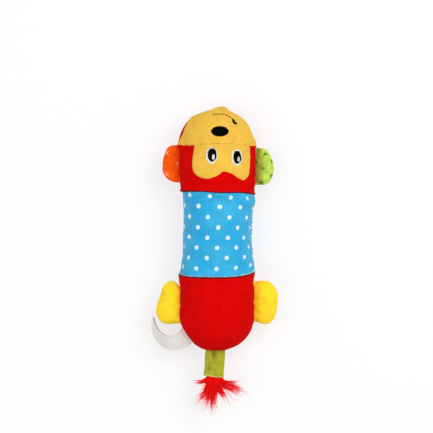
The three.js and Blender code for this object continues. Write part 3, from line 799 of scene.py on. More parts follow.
def pucker(points):
    """Small gathers beside the seams, across them."""
    y = ROWS[:, 0][:, None]
    around = np.repeat(ANGLE[None, :] * GIRTH_RADIUS, len(ROWS), 0)
    spots = np.stack([around, y * 0.12 + 0 * around, 0 * around], 2)
    gather = noise_at(spots, 4.2, 2.0) + 0.5 * noise_at(spots, 2.1, 3.0)
    gap = np.abs(y) - SEAM
    near = (bell(gap, 5.5) - 0.8 * bell(gap, 1.3)) * np.where(gap <= 0, 1.1, 0.4)
    near = near + 0.12 * bell(y - MUZZLE_SEAM, 4.0)
    turn = np.stack([np.cos(ANGLE), np.sin(ANGLE)], 1) * 2.0
    lengthways = np.concatenate([np.repeat(y[:, :, None], COLS, 1), np.repeat(turn[None], len(ROWS), 0)], 2)
    side = noise_at(lengthways, 4.6, 4.0) * 0.5 * bell(SIDE_GAP, 5.0)
    lumps = noise_at(points, 13.0, 5.0) * 0.35 + noise_at(points, 6.0, 6.0) * 0.12
    return points + outward_of(points) * (SWELL * (gather * near + side + lumps))[..., None]


def rest_flat(points):
    """Lets what lies lowest settle on the floor."""
    out = points.copy()
    z = out[..., 2]
    out[..., 2] = np.where(z > 6, z, 0.5 * np.log1p(np.exp(np.clip(z / 0.5, -30, 15))))
    return out


BODY, POLES = body_cloth()
BODY = rest_flat(pucker(BODY))


def round_the_body(angle):
    """Length of cloth from the middle of the front to an angle."""
    fine = np.linspace(0, 2 * math.pi, 721)
    step = np.hypot(BELLY_WIDE * np.sin(fine), BELLY_TALL * np.cos(fine)) * (fine[1] - fine[0])
    run = np.concatenate([[0], np.cumsum((step[1:] + step[:-1]) / 2)])
    return np.interp(math.pi / 2, fine, run) - np.interp(angle, fine, run)


FLAT_ACROSS = round_the_body(np.append(ANGLE, 2 * math.pi)) + 0.3
FLAT_ACROSS += 0.0045 * np.maximum(0, FLAT_ACROSS) ** 2  # the print is drawn together towards the right seam


def print_drift(flat):
    """How far the print on the front lies off its plain place, where the cloth was drawn askew."""
    u, v = flat[..., 0] / 30, flat[..., 1] / 30
    across = -0.43 * u + 0.5 * v - 1.45 * u * v + 0.27 * v**2 + 2.07 * u * v**2 - 1.41 * u**3
    along = 0.33 + 0.15 * u + 1.03 * v + 0.76 * u * v - 0.46 * u**2 - 0.6 * v**2
    return np.stack([across, along], -1)


def joined(block, extra, end, axis=0):
    """A block with more rows or columns before its first, or after its last."""
    return np.concatenate([extra, block] if end == 0 else [block, extra], axis)


def turned_edge(row, spots, hem, past):
    """Rows that turn in past an edge, and where they lie on the flat cloth."""
    inward = unit(np.stack([-row[:, 0], np.zeros(len(row)), AXIS_Z - row[:, 2]], 1))
    extra = [row + inward * deep + np.array([0, past * far, 0]) for far, deep in hem]
    laid = [spots + np.array([0, past * (far + deep)]) for far, deep in hem]
    return np.stack(extra)[::past], np.stack(laid)[::past]


POLE_CLOTH = 1.5  # how far past its last row a panel's end lies when flat


def panel(name, look, low, high, front, hem_low, hem_high, pole=None):
    """A cloth panel cut from the body between two rows, with each edge turned in as its hem says."""
    cols = FRONT if front else FRONT + HALF
    block = BODY[low : high + 1][:, cols % COLS]
    flat = np.zeros((*block.shape[:2], 2))
    flat[..., 0] = FLAT_ACROSS[cols]
    flat[..., 1] = ROWS[low : high + 1, 0][:, None]
    if front:
        flat += print_drift(flat)
    if pole is not None:
        block = joined(block, np.repeat(POLES[pole][None, None, :], block.shape[1], 1), pole)
        flat = joined(flat, flat[[-pole]] + np.array([0, (2 * pole - 1) * POLE_CLOTH]), pole)
    for end, hem, past in ((0, hem_low, -1), (-1, hem_high, 1)):
        if hem:
            more, laid = turned_edge(block[end], flat[end], hem, past)
            block, flat = joined(block, more, end), joined(flat, laid, end)
    inner = (block[:, 0] - block[:, -1]) / 2
    inner *= np.minimum(0.25, 1.4 / (np.linalg.norm(inner, axis=1) + 1e-6))[:, None]
    for side, way in ((0, -1), (-1, 1)):
        block = joined(block, (block[:, side] + way * inner)[:, None], side, 1)
        flat = joined(flat, flat[:, side][:, None], side, 1)
    faces = [f[::-1] for f in grid_faces(*block.shape[:2])]
    obj = make(name, block.reshape(-1, 3), faces, look)
    lay_out(obj, flat.reshape(-1, 2))
    thicken(obj, BODY_CLOTH)
    crisp(obj)
    return obj


PROUD = [(0.25, 0.2), (0.35, 0.7), (0.1, 1.6), (-0.2, 2.6)]  # a thick hem that stands over its neighbour
ROUNDED = [(0.1, 0.35), (0.05, 0.9), (-0.3, 2.0)]  # a hem drawn down into its seam
TUCKED = [(0.5, 0.6), (1.4, 1.3), (3.4, 2.0)]  # a thin edge that goes in under it
BUTTED = [(0.1, 0.5), (0.0, 1.6)]
# Two bodies, and how far along the cloth starts and ends to go over from the first to the second
TO_HEAD = (("torso", "head"), SEAM - 1, SEAM + 9)
TO_HIP = (("torso", "hip"), -SEAM + 1, -SEAM - 9)
PRESSED_UPPER = (("torso", "belly_press"), SEAM, SEAM - 18)
PRESSED_LOWER = (("torso", "belly_press"), -SEAM, -SEAM + 18)


def blended(obj, bodies, start, end):
    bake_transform(obj)


def make_body():
    waist, neck, muzzle = SEAMS["waist"], SEAMS["neck"], SEAMS["muzzle"]
    last = len(ROWS) - 1
    middle = (waist + neck) // 2
    table = [
        ("head_front_cloth", "head_front_panel", TO_HEAD, ("red", neck, muzzle, True, PROUD, BUTTED)),
        ("head_back_cloth", "head_back_panel", TO_HEAD, ("red", neck, last, False, PROUD, None, 1)),
        ("muzzle_cloth", "muzzle_panel", "head", ("yellow", muzzle, last, True, BUTTED, None, 1)),
        ("hip_front_cloth", "hip_front_panel", TO_HIP, ("red", 0, waist, True, None, ROUNDED, 0)),
        ("hip_back_cloth", "hip_back_panel", TO_HIP, ("red", 0, waist, False, None, ROUNDED, 0)),
        ("belly_front_cloth_upper", "belly_front_panel", PRESSED_UPPER,
         ("blue", middle, neck - 1, True, None, TUCKED)),
        ("belly_front_cloth_lower", "belly_front_panel", PRESSED_LOWER,
         ("blue", waist + 1, middle, True, TUCKED, None)),
        ("belly_back_cloth", "belly_back_panel", "torso",
         ("blue", waist + 1, neck - 1, False, TUCKED, TUCKED)),
    ]
    for name, node, motion, cut in table:
        obj = panel(name, *cut)
        if isinstance(motion, str):
            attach(obj, motion)
        else:
            blended(obj, *motion)
        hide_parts(node)


make_body()


# The face, laid on the front of the head

FACE = tree_of(BODY.reshape(-1, 3), [f[::-1] for f in grid_faces(len(ROWS), COLS, True)])
SKINS = {}  # the surface of each stuffed limb and of the tail


def on_face(x, y, lift=0.0):
    """A point over the front of the body."""
    spot, normal, _, _ = FACE.ray_cast(Vector((x, y, 200.0)), Vector((0, 0, -1)))
    if spot is None:
        spot, normal = Vector((x, y, AXIS_Z)), Vector((0, 0, 1))
    if normal.z < 0:
        normal = -normal
    return np.array(spot + normal * lift)


def laid_shape(name, look, node, outline, centre, lifts):
    """A closed pad on the face: rings from the middle out to the outline, each with a lift over the cloth."""
    centre = np.array(centre)
    count = len(outline)
    points = [on_face(*centre, lifts[0][1])]
    for share, lift in lifts[1:]:
        points += [on_face(*(centre + (p - centre) * share), lift) for p in outline]
    under = len(points)
    points.append(on_face(*centre, -0.3))
    base = under - count
    faces = [(0, 1 + (c + 1) % count, 1 + c) for c in range(count)]
    faces += grid_faces(len(lifts) - 1, count, True, 1)
    faces += [(under, base + c, base + (c + 1) % count) for c in range(count)]
    obj = make(name, points, faces, look)
    mend(obj)
    carried(obj, "head", node)


def oval(x, y, half_x, half_y, count=40):
    a = np.arange(count) * 2 * math.pi / count
    return np.stack([x + half_x * np.cos(a), y + half_y * np.sin(a)], 1)


def shrunk(size, inset):
    """A smaller oval in the middle of another."""
    x, y, half_x, half_y = size
    return x, y, half_x - inset, half_y - inset


def pad(name, look, node, size, inset, lifts):
    """A low oval pad, for stitches to lie on."""
    shape = oval(*shrunk(size, inset))
    laid_shape(name, look, node, shape, size[:2], list(zip((0, 0.5, 0.85, 1.0, 1.0), lifts)))


def satin_stitch(name, look, node, size, lift, along_y=False, pitch=0.42, hole=None, power=2.0):
    """An oval of thread laid side by side, over a low pad, with ends that dip into the cloth."""
    middle, half = np.array(size).reshape(2, 2)
    run = 1 if along_y else 0  # the way that the threads run, and the way over to the next one
    over = 1 - run
    paths, radii = [], []
    lines = int(2 * half[over] / pitch)
    for t in [-1 + (k + 0.5) * 2 / lines for k in range(lines)]:
        reach = half[run] * (1 - abs(t) ** power) ** (1 / power)
        spans = [(-reach, reach)]
        if hole is not None:
            gap, gap_half = np.array(hole).reshape(2, 2)
            u = (middle[over] + t * half[over] - gap[over]) / gap_half[over]
            if abs(u) < 1:
                cut = gap_half[run] * (1 - abs(u) ** power) ** (1 / power)
                mid = gap[run] - middle[run]
                spans = [(-reach, mid - cut), (mid + cut, reach)]
        for low, high in spans:
            if high - low < 0.5:
                continue
            low, high = low - RNG.uniform(0, 0.16), high + RNG.uniform(0, 0.16)
            steps = max(4, int((high - low) / 0.9))
            path = []
            for s in np.linspace(0, 1, steps + 1):
                spot = middle + t * half
                spot[run] = middle[run] + low + (high - low) * s
                path.append(on_face(*spot, lift * (1 - abs(2 * s - 1) ** 4) - 0.12))
            paths.append(path)
            radii.append([pitch * 0.56] * (steps + 1))
    carried(make(name, *tubes(paths, radii), look), "head", node)


def dashes(line, long, gap, radii, rise, dip, least):
    """Separate stitches along a line on the front of the body, while more than the least of it is left."""
    line = np.asarray(line, float)
    run = run_along(line)
    paths = []
    at = 0.0
    while at < run[-1] - least:
        length = RNG.uniform(*long)
        path = []
        for k, s in enumerate(np.linspace(at, min(at + length, run[-1]), 7)):
            spot = [np.interp(s, run, line[:, d]) for d in (0, 1)]
            path.append(on_face(*spot, rise * (1 - abs(k / 3 - 1) ** 3) - dip))
        paths.append(path)
        at += length + RNG.uniform(*gap)
    return tubes(paths, [radii] * len(paths))


def muzzle_seam_at(x):
    """How far along the muzzle's seam lies on the front."""
    return MUZZLE_SEAM + wander(MUZZLE_LINE, x)


PATCH_SIDES = [
    (-16.6, 62.8), (-17.6, 57.2), (-18.1, 51.2), (-17.4, 46.3), (-15.2, 43.0), (-11.1, 40.9),
    (-7.0, 40.3), (-2.8, 41.3), (0.8, 42.9), (3.0, 44.8), (4.1, 45.5), (7.4, 45.1), (11.2, 43.6),
    (14.4, 41.4), (18.0, 39.5), (19.8, 39.6), (22.4, 42.2), (23.4, 46.2), (23.8, 53.6), (23.7, 60.0),
    (23.5, 62.8),
]
PATCH_TOP = [(x, muzzle_seam_at(x) + 0.25) for x in (22.7, 20.0, 14.0, 8.0, 2.0, -4.0, -10.0, -14.0, -16.3)]
PATCH_OUTLINE = PATCH_SIDES + PATCH_TOP
PATCH_CENTRE = (3.4, 54.0)
# Ovals of each eye and the nose: the middle and half of the size, across and along
EYE_WHITES = {"left": (-4.0, 57.1, 4.15, 6.1), "right": (14.05, 55.8, 3.8, 6.1)}
PUPILS = {"left": (-3.68, 57.78, 3.37, 5.13), "right": (14.2, 56.0, 3.0, 4.85)}
GLINTS = {"left": (-2.8, 55.95, 1.38, 2.0), "right": (15.05, 54.65, 1.2, 2.0)}
NOSE = (1.9, 74.8, 6.2, 3.7)
MOUTH_LINE = [(-3.2, 86.9), (-0.8, 87.3), (2.6, 87.5), (5.8, 87.0), (8.4, 85.8), (10.6, 84.2), (11.4, 83.4)]
CHEEK_LINE = [(11.4, 83.5), (11.8, 82.4), (12.4, 81.4), (13.3, 80.8), (14.4, 80.6)]


def make_patch():
    edge = spline(PATCH_OUTLINE, 150, True)
    ragged = noise_at(np.pad(edge, ((0, 0), (0, 1))), 2.4, 8.0) * 0.22
    edge = edge + unit(edge - np.array(PATCH_CENTRE)) * ragged[:, None]
    lifts = [(s, 0.75) for s in (0, 0.2, 0.4, 0.55, 0.7, 0.82, 0.9)]
    lifts += [(0.955, 0.72), (0.985, 0.55), (1.0, 0.25), (1.0, -0.25)]
    laid_shape("face_patch_cloth", "yellow", "face_patch", edge, PATCH_CENTRE, lifts)


def make_eye(eye, white, pupil, glint):
    hole = shrunk(pupil, 0.3)
    spark = shrunk(glint, 0.25)
    pad(f"{eye}_pad", "white", f"{eye}_white", white, 0.2, (1.0, 0.98, 0.9, 0.75, -0.2))
    satin_stitch(f"{eye}_white_stitch", "white", f"{eye}_white", white, 1.2, hole=hole, power=2.4)
    satin_stitch(f"{eye}_pupil_stitch", "black", f"{eye}_pupil", pupil, 1.42, hole=spark, power=2.3)
    satin_stitch(f"{eye}_glint_stitch", "white", f"{eye}_glint", glint, 1.62, pitch=0.38)
    pad(f"{eye}_pupil_pad", "black", f"{eye}_pupil", pupil, 0.25, (1.22, 1.2, 1.12, 0.95, 0.2))


def make_nose():
    pad("nose_pad", "black", "nose", NOSE, 0.2, (0.75, 0.7, 0.55, 0.25, -0.3))
    satin_stitch("nose_stitch", "black", "nose", NOSE, 0.95, along_y=True)


def make_mouth():
    radii = [0.18, 0.25, 0.3, 0.32, 0.3, 0.25, 0.18]
    shape = dashes(spline(MOUTH_LINE, 60), (1.6, 2.4), (0.2, 0.45), radii, 0.36, 0.2, 0.6)
    carried(make("mouth_stitches", *shape, "black"), "head", "mouth_stitch")


def make_cheek():
    line = spline(CHEEK_LINE, 16)
    paths = []
    for k, way in enumerate(unit(np.diff(line, axis=0))):
        half = 0.75 * math.sin(math.pi * (0.16 + 0.74 * k / 14)) + 0.12
        across = np.array([-way[1], way[0]]) * half
        spots = np.linspace(-1, 1, 6)
        paths.append([on_face(*(line[k] + across * s), 0.5 * (1 - abs(s) ** 3) - 0.1) for s in spots])
    carried(make("cheek_stitches", *tubes(paths, [[0.26] * 6] * 15), "black"), "head", "cheek_stitch")


def make_muzzle_seam_shade():
    # thread-like dashes along the muzzle's seam, standing in for the shadow in its gaps: painted shade
    line = [(x, muzzle_seam_at(x) + 0.1) for x in np.linspace(-24, 24, 60)]
    radii = [0.26 * r for r in (0.6, 0.85, 1, 1, 1, 0.85, 0.6)]
    shape = dashes(line, (1.8, 4.2), (0.6, 2.0), radii, 0.46, 0.15, 1.8)
    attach(make("muzzle_seam_shade_dashes", *shape, "seam_yellow"), "head")


make_patch()
for word in ("left", "right"):
    make_eye(f"eye_{word}", EYE_WHITES[word], PUPILS[word], GLINTS[word])
make_nose()
make_mouth()
make_cheek()
make_muzzle_seam_shade()


# Loose ends in the ring seams, and dark threads laid in their grooves as painted shade


def fringe(name, look, row, way, back, count, long, thick, lift, stand):
    """Short loose ends of pile along a seam, leaning the given way along the body."""
    paths, radii = [], []
    onward = np.array([0, way, 0])
    for p in spline(BODY[row][::2], count, True):
        out = unit(np.array([p[0], 0.0, p[2] - AXIS_Z]))
        side = np.array([-out[2], 0.0, out[0]])
        length = RNG.uniform(*long)
        lean = unit(onward + out * RNG.uniform(0.05, stand) + side * RNG.normal(0, 0.45))
        start = p + side * RNG.normal(0, 0.2) - onward * back + out * lift
        curl = out * RNG.uniform(-0.25, 0.05) + side * RNG.normal(0, 0.15)
        paths.append([start, start + lean * length * 0.55, start + (lean + curl) * length])
        radii.append([thick, thick * 0.8, thick * 0.25])
    points, faces = tubes(paths, radii, 3)
    points = np.array(points)
    points[:, 2] = np.maximum(points[:, 2], 0.05)
    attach(make(name, points, faces, look), "torso")


def seam_thread(name, row, shift, lift):
    """A dark thread in the groove of a seam round the body: painted shade, standing in for the groove's
    shadow.
    """
    spots = spline(BODY[row][::2], 300, True)
    out = unit(np.stack([spots[:, 0], 0 * spots[:, 0], spots[:, 2] - AXIS_Z], 1))
    path = spots + out * (lift - 0.3 * out[:, :1] ** 4) + np.array([0, shift, 0])
    path[:, 1] += 0.12 * np.sin(np.arange(300) * 2 * math.pi / 5)
    path[:, 2] = np.maximum(path[:, 2], 0.35)
    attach(make(name, *tubes([[*path, path[0]]], [[0.4] * 301]), "seam_dark"), "torso")


# dark lines in the waist and neck grooves: painted shade
seam_thread("waist_groove_shade", SEAMS["waist"], 0.2, 0.0)
seam_thread("neck_groove_shade", SEAMS["neck"] - 1, -0.5, 0.1)
fringe("waist_fringe", "fray", SEAMS["waist"] + 1, 1, -0.6, 640, (0.6, 1.5), 0.2, 0.3, 0.3)
# the neck's loose ends are real, their dark colour is painted shade
fringe("neck_fringe", "shaded_fray", SEAMS["neck"], -1, 0.35, 600, (0.5, 1.0), 0.1, -0.1, 0.7)


# Where the soft pieces bend: the body that carries them, where the bend starts and where it ends
BENDS = {
    "tail": ("hip", (TAIL_X, TAIL_TOP + 0.5, AXIS_Z), (TAIL_X, TAIL_TOP - 8.0, AXIS_Z)),
    "tuft": ("tail", (TAIL_X, HEM_Y + 0.4, AXIS_Z), (TAIL_X, HEM_Y - 5.6, AXIS_Z)),
    "label": ("hip", (-21.3, -74.1, AXIS_Z), (-29.0, -80.5, AXIS_Z)),
}
for limb, carrier in (("ear", "head"), ("foot", "hip")):
    for word, sign in (("left", -1), ("right", 1)):
        start, end = (sign * (LIMB_X - 1), 0, AXIS_Z), (sign * (LIMB_X + 6), 0, AXIS_Z)
        BENDS[f"{limb}_{word}"] = (carrier, start, end)


def bend(obj, node):
    """Fixes a piece of a soft part where it lies, in place of a node."""
    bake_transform(obj)
    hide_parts(node)


# Ears and feet: two cloths sewn round a D, swelled by their stuffing

LIMBS = {
    "ear_left": dict(
        look="orange", side=-1, y=51.6, thick=4.4, pinch=(0.45, 7.0), drop=1.2, pressure=4.0, fill=0.8,
        outline=[
            (-2.4, 13.3), (1.0, 13.5), (4.4, 13.2), (7.4, 11.8), (9.6, 8.2), (11.0, 3.6), (11.6, -1.4),
            (10.8, -6.6), (8.0, -10.9), (4.0, -13.2), (0.6, -13.9), (-2.4, -13.8),
        ],
    ),
    "ear_right": dict(
        look="green", side=1, y=49.4, thick=4.4, pinch=(0.08, 6.2), drop=3.6, pressure=4.0, fill=0.8,
        outline=[
            (-2.4, 13.4), (1.4, 13.6), (5.0, 13.4), (8.4, 11.8), (11.0, 7.2), (12.9, 0.6), (12.4, -5.5),
            (10.2, -10.4), (6.4, -13.0), (2.0, -13.2), (-2.4, -12.6),
        ],
    ),
    "foot_left": dict(
        look="lemon", side=-1, y=-50.0, thick=6.3, pinch=(1.0, 4.0), drop=-0.6, pressure=5.0, fill=0.75,
        outline=[
            (-2.4, 10.2), (0.0, 12.7), (2.4, 14.7), (4.9, 15.5), (8.0, 14.2), (11.0, 10.9), (13.1, 4.8),
            (15.2, -1.8), (15.9, -6.0), (15.1, -10.0), (12.2, -14.3), (8.1, -16.1), (3.0, -16.0),
            (-2.4, -15.5),
        ],
    ),
    "foot_right": dict(
        look="lemon", side=1, y=-50.2, thick=6.3, pinch=(0.65, 6.0), drop=0.0, pressure=5.0, fill=0.75,
        outline=[
            (-2.4, 15.2), (1.4, 15.7), (5.0, 15.9), (9.6, 15.2), (13.6, 11.6), (15.9, 6.0), (16.0, -0.6),
            (15.2, -6.8), (13.0, -12.2), (9.4, -15.3), (5.0, -15.5), (1.0, -14.5), (-2.4, -13.3),
        ],
    ),
}
RINGS = 13
SLACK = 0.72  # share of its thickness that a limb has before it swells


def limb_pad(outline, thick, pinch):
    """Rings from the middle of the limb out to its seam, on the front and on the back."""
    root = [(ROOT_X, outline[-1][1] + 2), (ROOT_X, outline[0][1] - 2)]
    edge = spline(outline + root, 72, True)
    centre = edge.mean(axis=0) * np.array([0.95, 1])
    count = len(edge)
    points = []
    for face in (1, -1):
        points.append([*centre, face * thick])
        for s in np.sin(np.linspace(0, 1, RINGS + 1)[1:-1] * math.pi / 2):
            for spot in centre + (edge - centre) * s:
                drawn = pinch[0] + (1 - pinch[0]) * smooth((spot[0] + 2.4) / pinch[1])
                points.append([*spot, face * thick * math.sqrt(max(0, 1 - s**2.6)) * drawn])
    half = len(points) // 2
    seam = 2 * half
    points += [[*p, 0.0] for p in edge]
    pairs = [(c, (c + 1) % count) for c in range(count)]
    faces = []
    for first, turn in ((0, 1), (half, -1)):
        ring = first + 1
        last = ring + (RINGS - 2) * count
        made = [(first, ring + c, ring + d) for c, d in pairs]
        made += [f[::-1] for f in grid_faces(RINGS - 1, count, True, ring)]
        made += [(last + c, seam + c, seam + d, last + d) for c, d in pairs]
        faces += [f[::turn] for f in made]
    return np.array(points), turned_out(points, faces), edge.mean(axis=0), half


def creased(done, points, middle, look, side, drop):
    """Gathers at the seam, lumps, the fold of a foot, and how far the root hangs."""
    outer = smooth((points[:, 0] - 0.5) / 3)
    rim = bell(done[:, 2], 1.6) * outer
    gather = noise_at(points * np.array([1, 1, 0.2]), 2.6, 9.0 + side) * 0.16 * rim
    done[:, 2] += np.sign(done[:, 2]) * noise_at(points, 6.0, 10.0 + side) * 0.3 * outer
    done[:, :2] += unit(done[:, :2] - middle) * gather[:, None]
    if look == "lemon":
        crease = bell(done[:, 1] - side * 1.2 - 0.08 * done[:, 0], 1.1)
        done[:, 2] -= np.sign(done[:, 2]) * crease * 0.4 * smooth((done[:, 0] - 2) / 4)
    done[:, 2] -= drop * (1 - smooth((done[:, 0] + 1) / 7))
    return done


def make_limb(name, look, side, y, thick, pinch, drop, pressure, fill, outline):
    points, faces, middle, half = limb_pad(outline, thick * SLACK, pinch)
    seam = 2 * half
    pinned = [i for i, p in enumerate(points) if p[0] < -1.2 or i >= seam]
    done = inflate(points, faces, pinned, pressure, 0.06, 2.4, stiffness=6.0)
    done = creased(done, points, middle, look, side, drop)
    world = np.stack([side * (LIMB_X + done[:, 0]), y + done[:, 1], AXIS_Z + done[:, 2]], 1)
    faces = [f[::side] for f in faces]
    SKINS[name] = tree_of(world, faces)
    for word, first, moved in (("front", 0, 0), ("back", half, 40)):
        spots = [*range(first, first + half), *range(seam, len(points))]
        place = {i: k for k, i in enumerate(spots)}
        part = [[place[i] for i in f] for f in faces if all(i in place for i in f)]
        obj = make(f"{name}_{word}_cloth", world[spots], part, look)
        lay_out(obj, points[spots, :2] + np.array([moved, 0]))
        smoother = obj.modifiers.new("smooth", "SUBSURF")
        smoother.levels = smoother.render_levels = 1
        settle(obj)
        solidify(obj, LIMB_CLOTH)
        bend(obj, f"{name}_{word}")


for limb, size in LIMBS.items():
    make_limb(limb, **size)


# Tail, tuft and label

TAIL_PLACE = np.array([TAIL_X, TAIL_TOP, AXIS_Z])
# Creases of the tail's front: how deep, then the middle and the width across and along
TAIL_CREASES = [(2.1, -1.0, 1.9, 0.22, 0.17), (1.6, -4.6, 2.2, 0.74, 0.15)]
TAIL_TUCK = [(0.0, 0.35), (-0.5, 0.75), (-2.2, 0.8)]  # how the end turns in: how far back, and how deep
HEM_PROFILE = [(-0.1, 0.5), (0.1, 0.3), (0.14, 0.0), (0.08, -0.4), (-0.2, -0.6), (-0.4, 0.0)]


def tail_crease(x, t):
    """How far the tail's front is drawn in, with a low fold across it."""
    deep = sum(d * bell(x - a, wide) * bell(t - b, long) for d, a, wide, b, long in TAIL_CREASES)
    return deep + 0.5 * bell(t - 0.56 - 0.01 * x, 0.035)


def make_hem(ring, angle):
    points = []
    for p, a in zip(ring, angle):
        out = unit((p - TAIL_PLACE) * np.array([1, 0, 1]))
        wave = 0.2 + 0.2 * math.sin(3 * a)
        points += [p + out * far + np.array([0, along + wave, 0]) for far, along in HEM_PROFILE]
    faces = grid_faces(len(ring) + 1, len(HEM_PROFILE), True)
    obj = make("tail_hem", points, [[i % len(points) for i in f] for f in faces], "hem")
    mend(obj)
    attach(obj, "tail")


def make_tail():
    """A flattened tube of cloth with creases, its end turned in, a hem round it, and painted shade marked in
    its creases.
    """
    rows, cols = 26, 56
    angle = np.arange(cols) * 2 * math.pi / cols
    points, folds = [], []
    for t in np.arange(rows) / (rows - 1):
        thick = 0.9 + 2.7 * math.sin(min(1, (t * 1.08 + 0.02) / 0.6) * math.pi / 2)
        wide = 7.1 + 0.25 * math.sin(math.pi * t) + 0.35 * smooth((t - 0.8) / 0.2)
        for a in angle:
            p = np.array([wide * math.cos(a), 1.6 - t * (TAIL_LENGTH + 1.6), thick * math.sin(a)])
            drawn = tail_crease(p[0], t) if p[2] > 0 else 0.0
            out = noise_at([p * np.array([1, 0.5, 1])], 3.4, 20.0)[0] * 0.4 - drawn
            points.append(p + np.array([math.cos(a) * out * 0.4, 0, math.sin(a) * out]))
            # how much painted shade each point takes, by how deep its crease is drawn in
            folds.append(min(1.0, drawn / TAIL_CREASES[0][0]))
    last = np.array(points[-cols:])
    for back, deep in TAIL_TUCK:
        points += list(last * np.array([1 - deep / 7.3, 1, 1 - deep / 3.6]) - np.array([0, back, 0]))
        folds += [0.0] * cols
    points = np.array(points)
    points[:, 1] += 0.12 * points[:, 0] * np.minimum(0, points[:, 1]) / TAIL_LENGTH
    points[:, 0] += 0.6 + 0.07 * points[:, 1]
    world = points + TAIL_PLACE
    SKINS["tail"] = tree_of(world[: rows * cols], grid_faces(rows, cols, True))
    obj = make("tail_cloth", world, grid_faces(rows + len(TAIL_TUCK), cols, True), "olive")
    mark(obj, "fold", folds)
    thicken(obj, LIMB_CLOTH)
    bend(obj, "tail_tube")
    make_hem(world[(rows - 1) * cols : rows * cols], angle)


make_tail()

# Each lock of the tuft: where it ends from the middle of the hem, how wide it spreads, and its strands
LOCKS = [
    ((-13.7, -4.4, 1.0), 1.5, 44),
    ((-6.4, -6.2, 2.0), 1.4, 60),
    ((-6.3, -19.0, 0.5), 2.6, 150),
    ((-12.6, -18.6, -1.0), 1.3, 34),
    ((-2.0, -26.6, 0.5), 1.3, 40),
    ((-6.6, -23.0, 1.0), 1.4, 30),
    ((1.4, -23.0, 0.0), 1.2, 22),
    ((2.6, -12.6, 2.5), 2.4, 100),
    ((8.4, -16.4, -1.0), 1.8, 44),
    ((11.4, -18.4, 0.0), 1.1, 16),
    ((15.6, -9.6, 1.0), 2.6, 150),
    ((21.8, -9.8, 0.0), 1.3, 34),
    ((20.2, -13.2, -1.0), 1.5, 34),
    ((17.6, -5.8, 1.5), 1.1, 34),
    ((9.6, -5.0, 2.0), 1.4, 60),
]
STRAND_TAPER = np.array([1, 1, 0.95, 0.8, 0.6, 0.4, 0])
STRAND_TIP = 0.05  # radius
STRAND_STEPS = np.array([0, 0, 0.2, 0.4, 0.6, 0.8, 1.0])
STRAND_SIDES = 4


def make_strand(end, spread):
    """One fibre of a lock from inside the hem: its path, its radii, and how pale it is along them."""
    root = np.array([RNG.uniform(-5.2, 5.2), 3.0, RNG.uniform(-1.7, 1.7)])
    start = np.array([root[0] * 0.95, 0.0, root[2] * 1.1])
    loose = RNG.uniform() < 0.4
    reach = RNG.uniform(0.7, 1.14) if loose else RNG.uniform(0.5, 1.02)
    aside = RNG.normal(0, 1, 3) * np.array([1, 1, 0.7]) * spread * reach * (1.7 if loose else 0.9)
    stop = end * reach + aside
    stop[1] = min(stop[1], -2.5 - RNG.uniform(0, 2))
    knee = start * 0.5 + end * 0.34 + np.array([0, -3.2, 0]) + RNG.normal(0, 0.7, 3)
    knee[1] = min(knee[1], -3.0)
    t = STRAND_STEPS[:, None]
    path = (1 - t) ** 2 * start + 2 * t * (1 - t) * knee + t * t * stop
    path[0] = root
    path[2:] += RNG.normal(0, 0.22, path.shape)[2:]
    thick = RNG.uniform(0.14, 0.24) if loose else RNG.uniform(0.34, 0.6)
    pale = (reach + (0.15 if loose else 0.0)) * np.clip(np.linalg.norm(end) / 16, 0.6, 1)
    return path, np.maximum(thick * STRAND_TAPER, STRAND_TIP), STRAND_STEPS * pale


def make_tuft():
    hem = np.array([TAIL_X - 0.5, HEM_Y, AXIS_Z])
    strands = [make_strand(np.array(end), spread) for end, spread, count in LOCKS for _ in range(count)]
    paths, radii, tips = zip(*strands)
    shape = tubes([path + hem for path in paths], radii, STRAND_SIDES, 0.35)
    obj = make("tuft_strands", *shape, "tuft", False)
    mark(obj, "tip", np.repeat(np.concatenate(tips), STRAND_SIDES))
    bend(obj, "tail_tuft")
    turns = np.linspace(0, 5 * 2 * math.pi, 120)
    coil = np.stack([5.0 * np.cos(turns), 1.2 + turns / turns[-1] * 1.6, 2.0 * np.sin(turns)], 1) + hem
    bend(make("tuft_thread", *tubes([coil], [[0.22] * 120]), "binding"), "tuft_binding")


make_tuft()

LABEL_WIDTH = 13.0
LABEL_THICK = 0.22
LABEL_OPEN = 1.3  # how far the two layers stand apart at the fold
LABEL_ROOT = 0.72  # and at the seam
LABEL_DROP = 7.0
LABEL_LINE = [
    (-19.6, -71.6), (-21.7, -74.6), (-24.8, -77.4), (-29.0, -79.4), (-34.4, -79.9), (-40.0, -77.6),
    (-44.2, -72.8), (-46.1, -67.6), (-46.8, -61.6),
]


def label_path():
    """Along the ribbon, out and back: its middle, the way across it and the way that it faces."""
    steps = 48
    line = spline(LABEL_LINE, steps + 1)
    along = unit(np.gradient(line, axis=0))
    up = np.array([0.0, 0.0, 1.0])
    stations = []
    for k, share in enumerate(np.arange(steps + 1) / steps):
        outward = np.array([-along[k][1], along[k][0], 0.0])
        roll = math.radians(87) * share**0.95
        across = outward * math.cos(roll) - up * math.sin(roll)
        normal = outward * math.sin(roll) + up * math.cos(roll)
        middle = np.array([*line[k], AXIS_Z - LABEL_DROP * share**1.5])
        half = (LABEL_ROOT + (LABEL_OPEN - LABEL_ROOT) * share) / 2
        stations.append((middle, across, normal, half))
    path = [(m + n * h, a, n) for m, a, n, h in stations]
    onward = np.array([*along[-1], 0.0])
    for angle in np.linspace(0, math.pi, 9)[1:-1]:
        facing = normal * math.cos(angle) + onward * math.sin(angle)
        path.append((middle + facing * half, across, facing))
    return path + [(m - n * h, a, -n) for m, a, n, h in stations[::-1]]


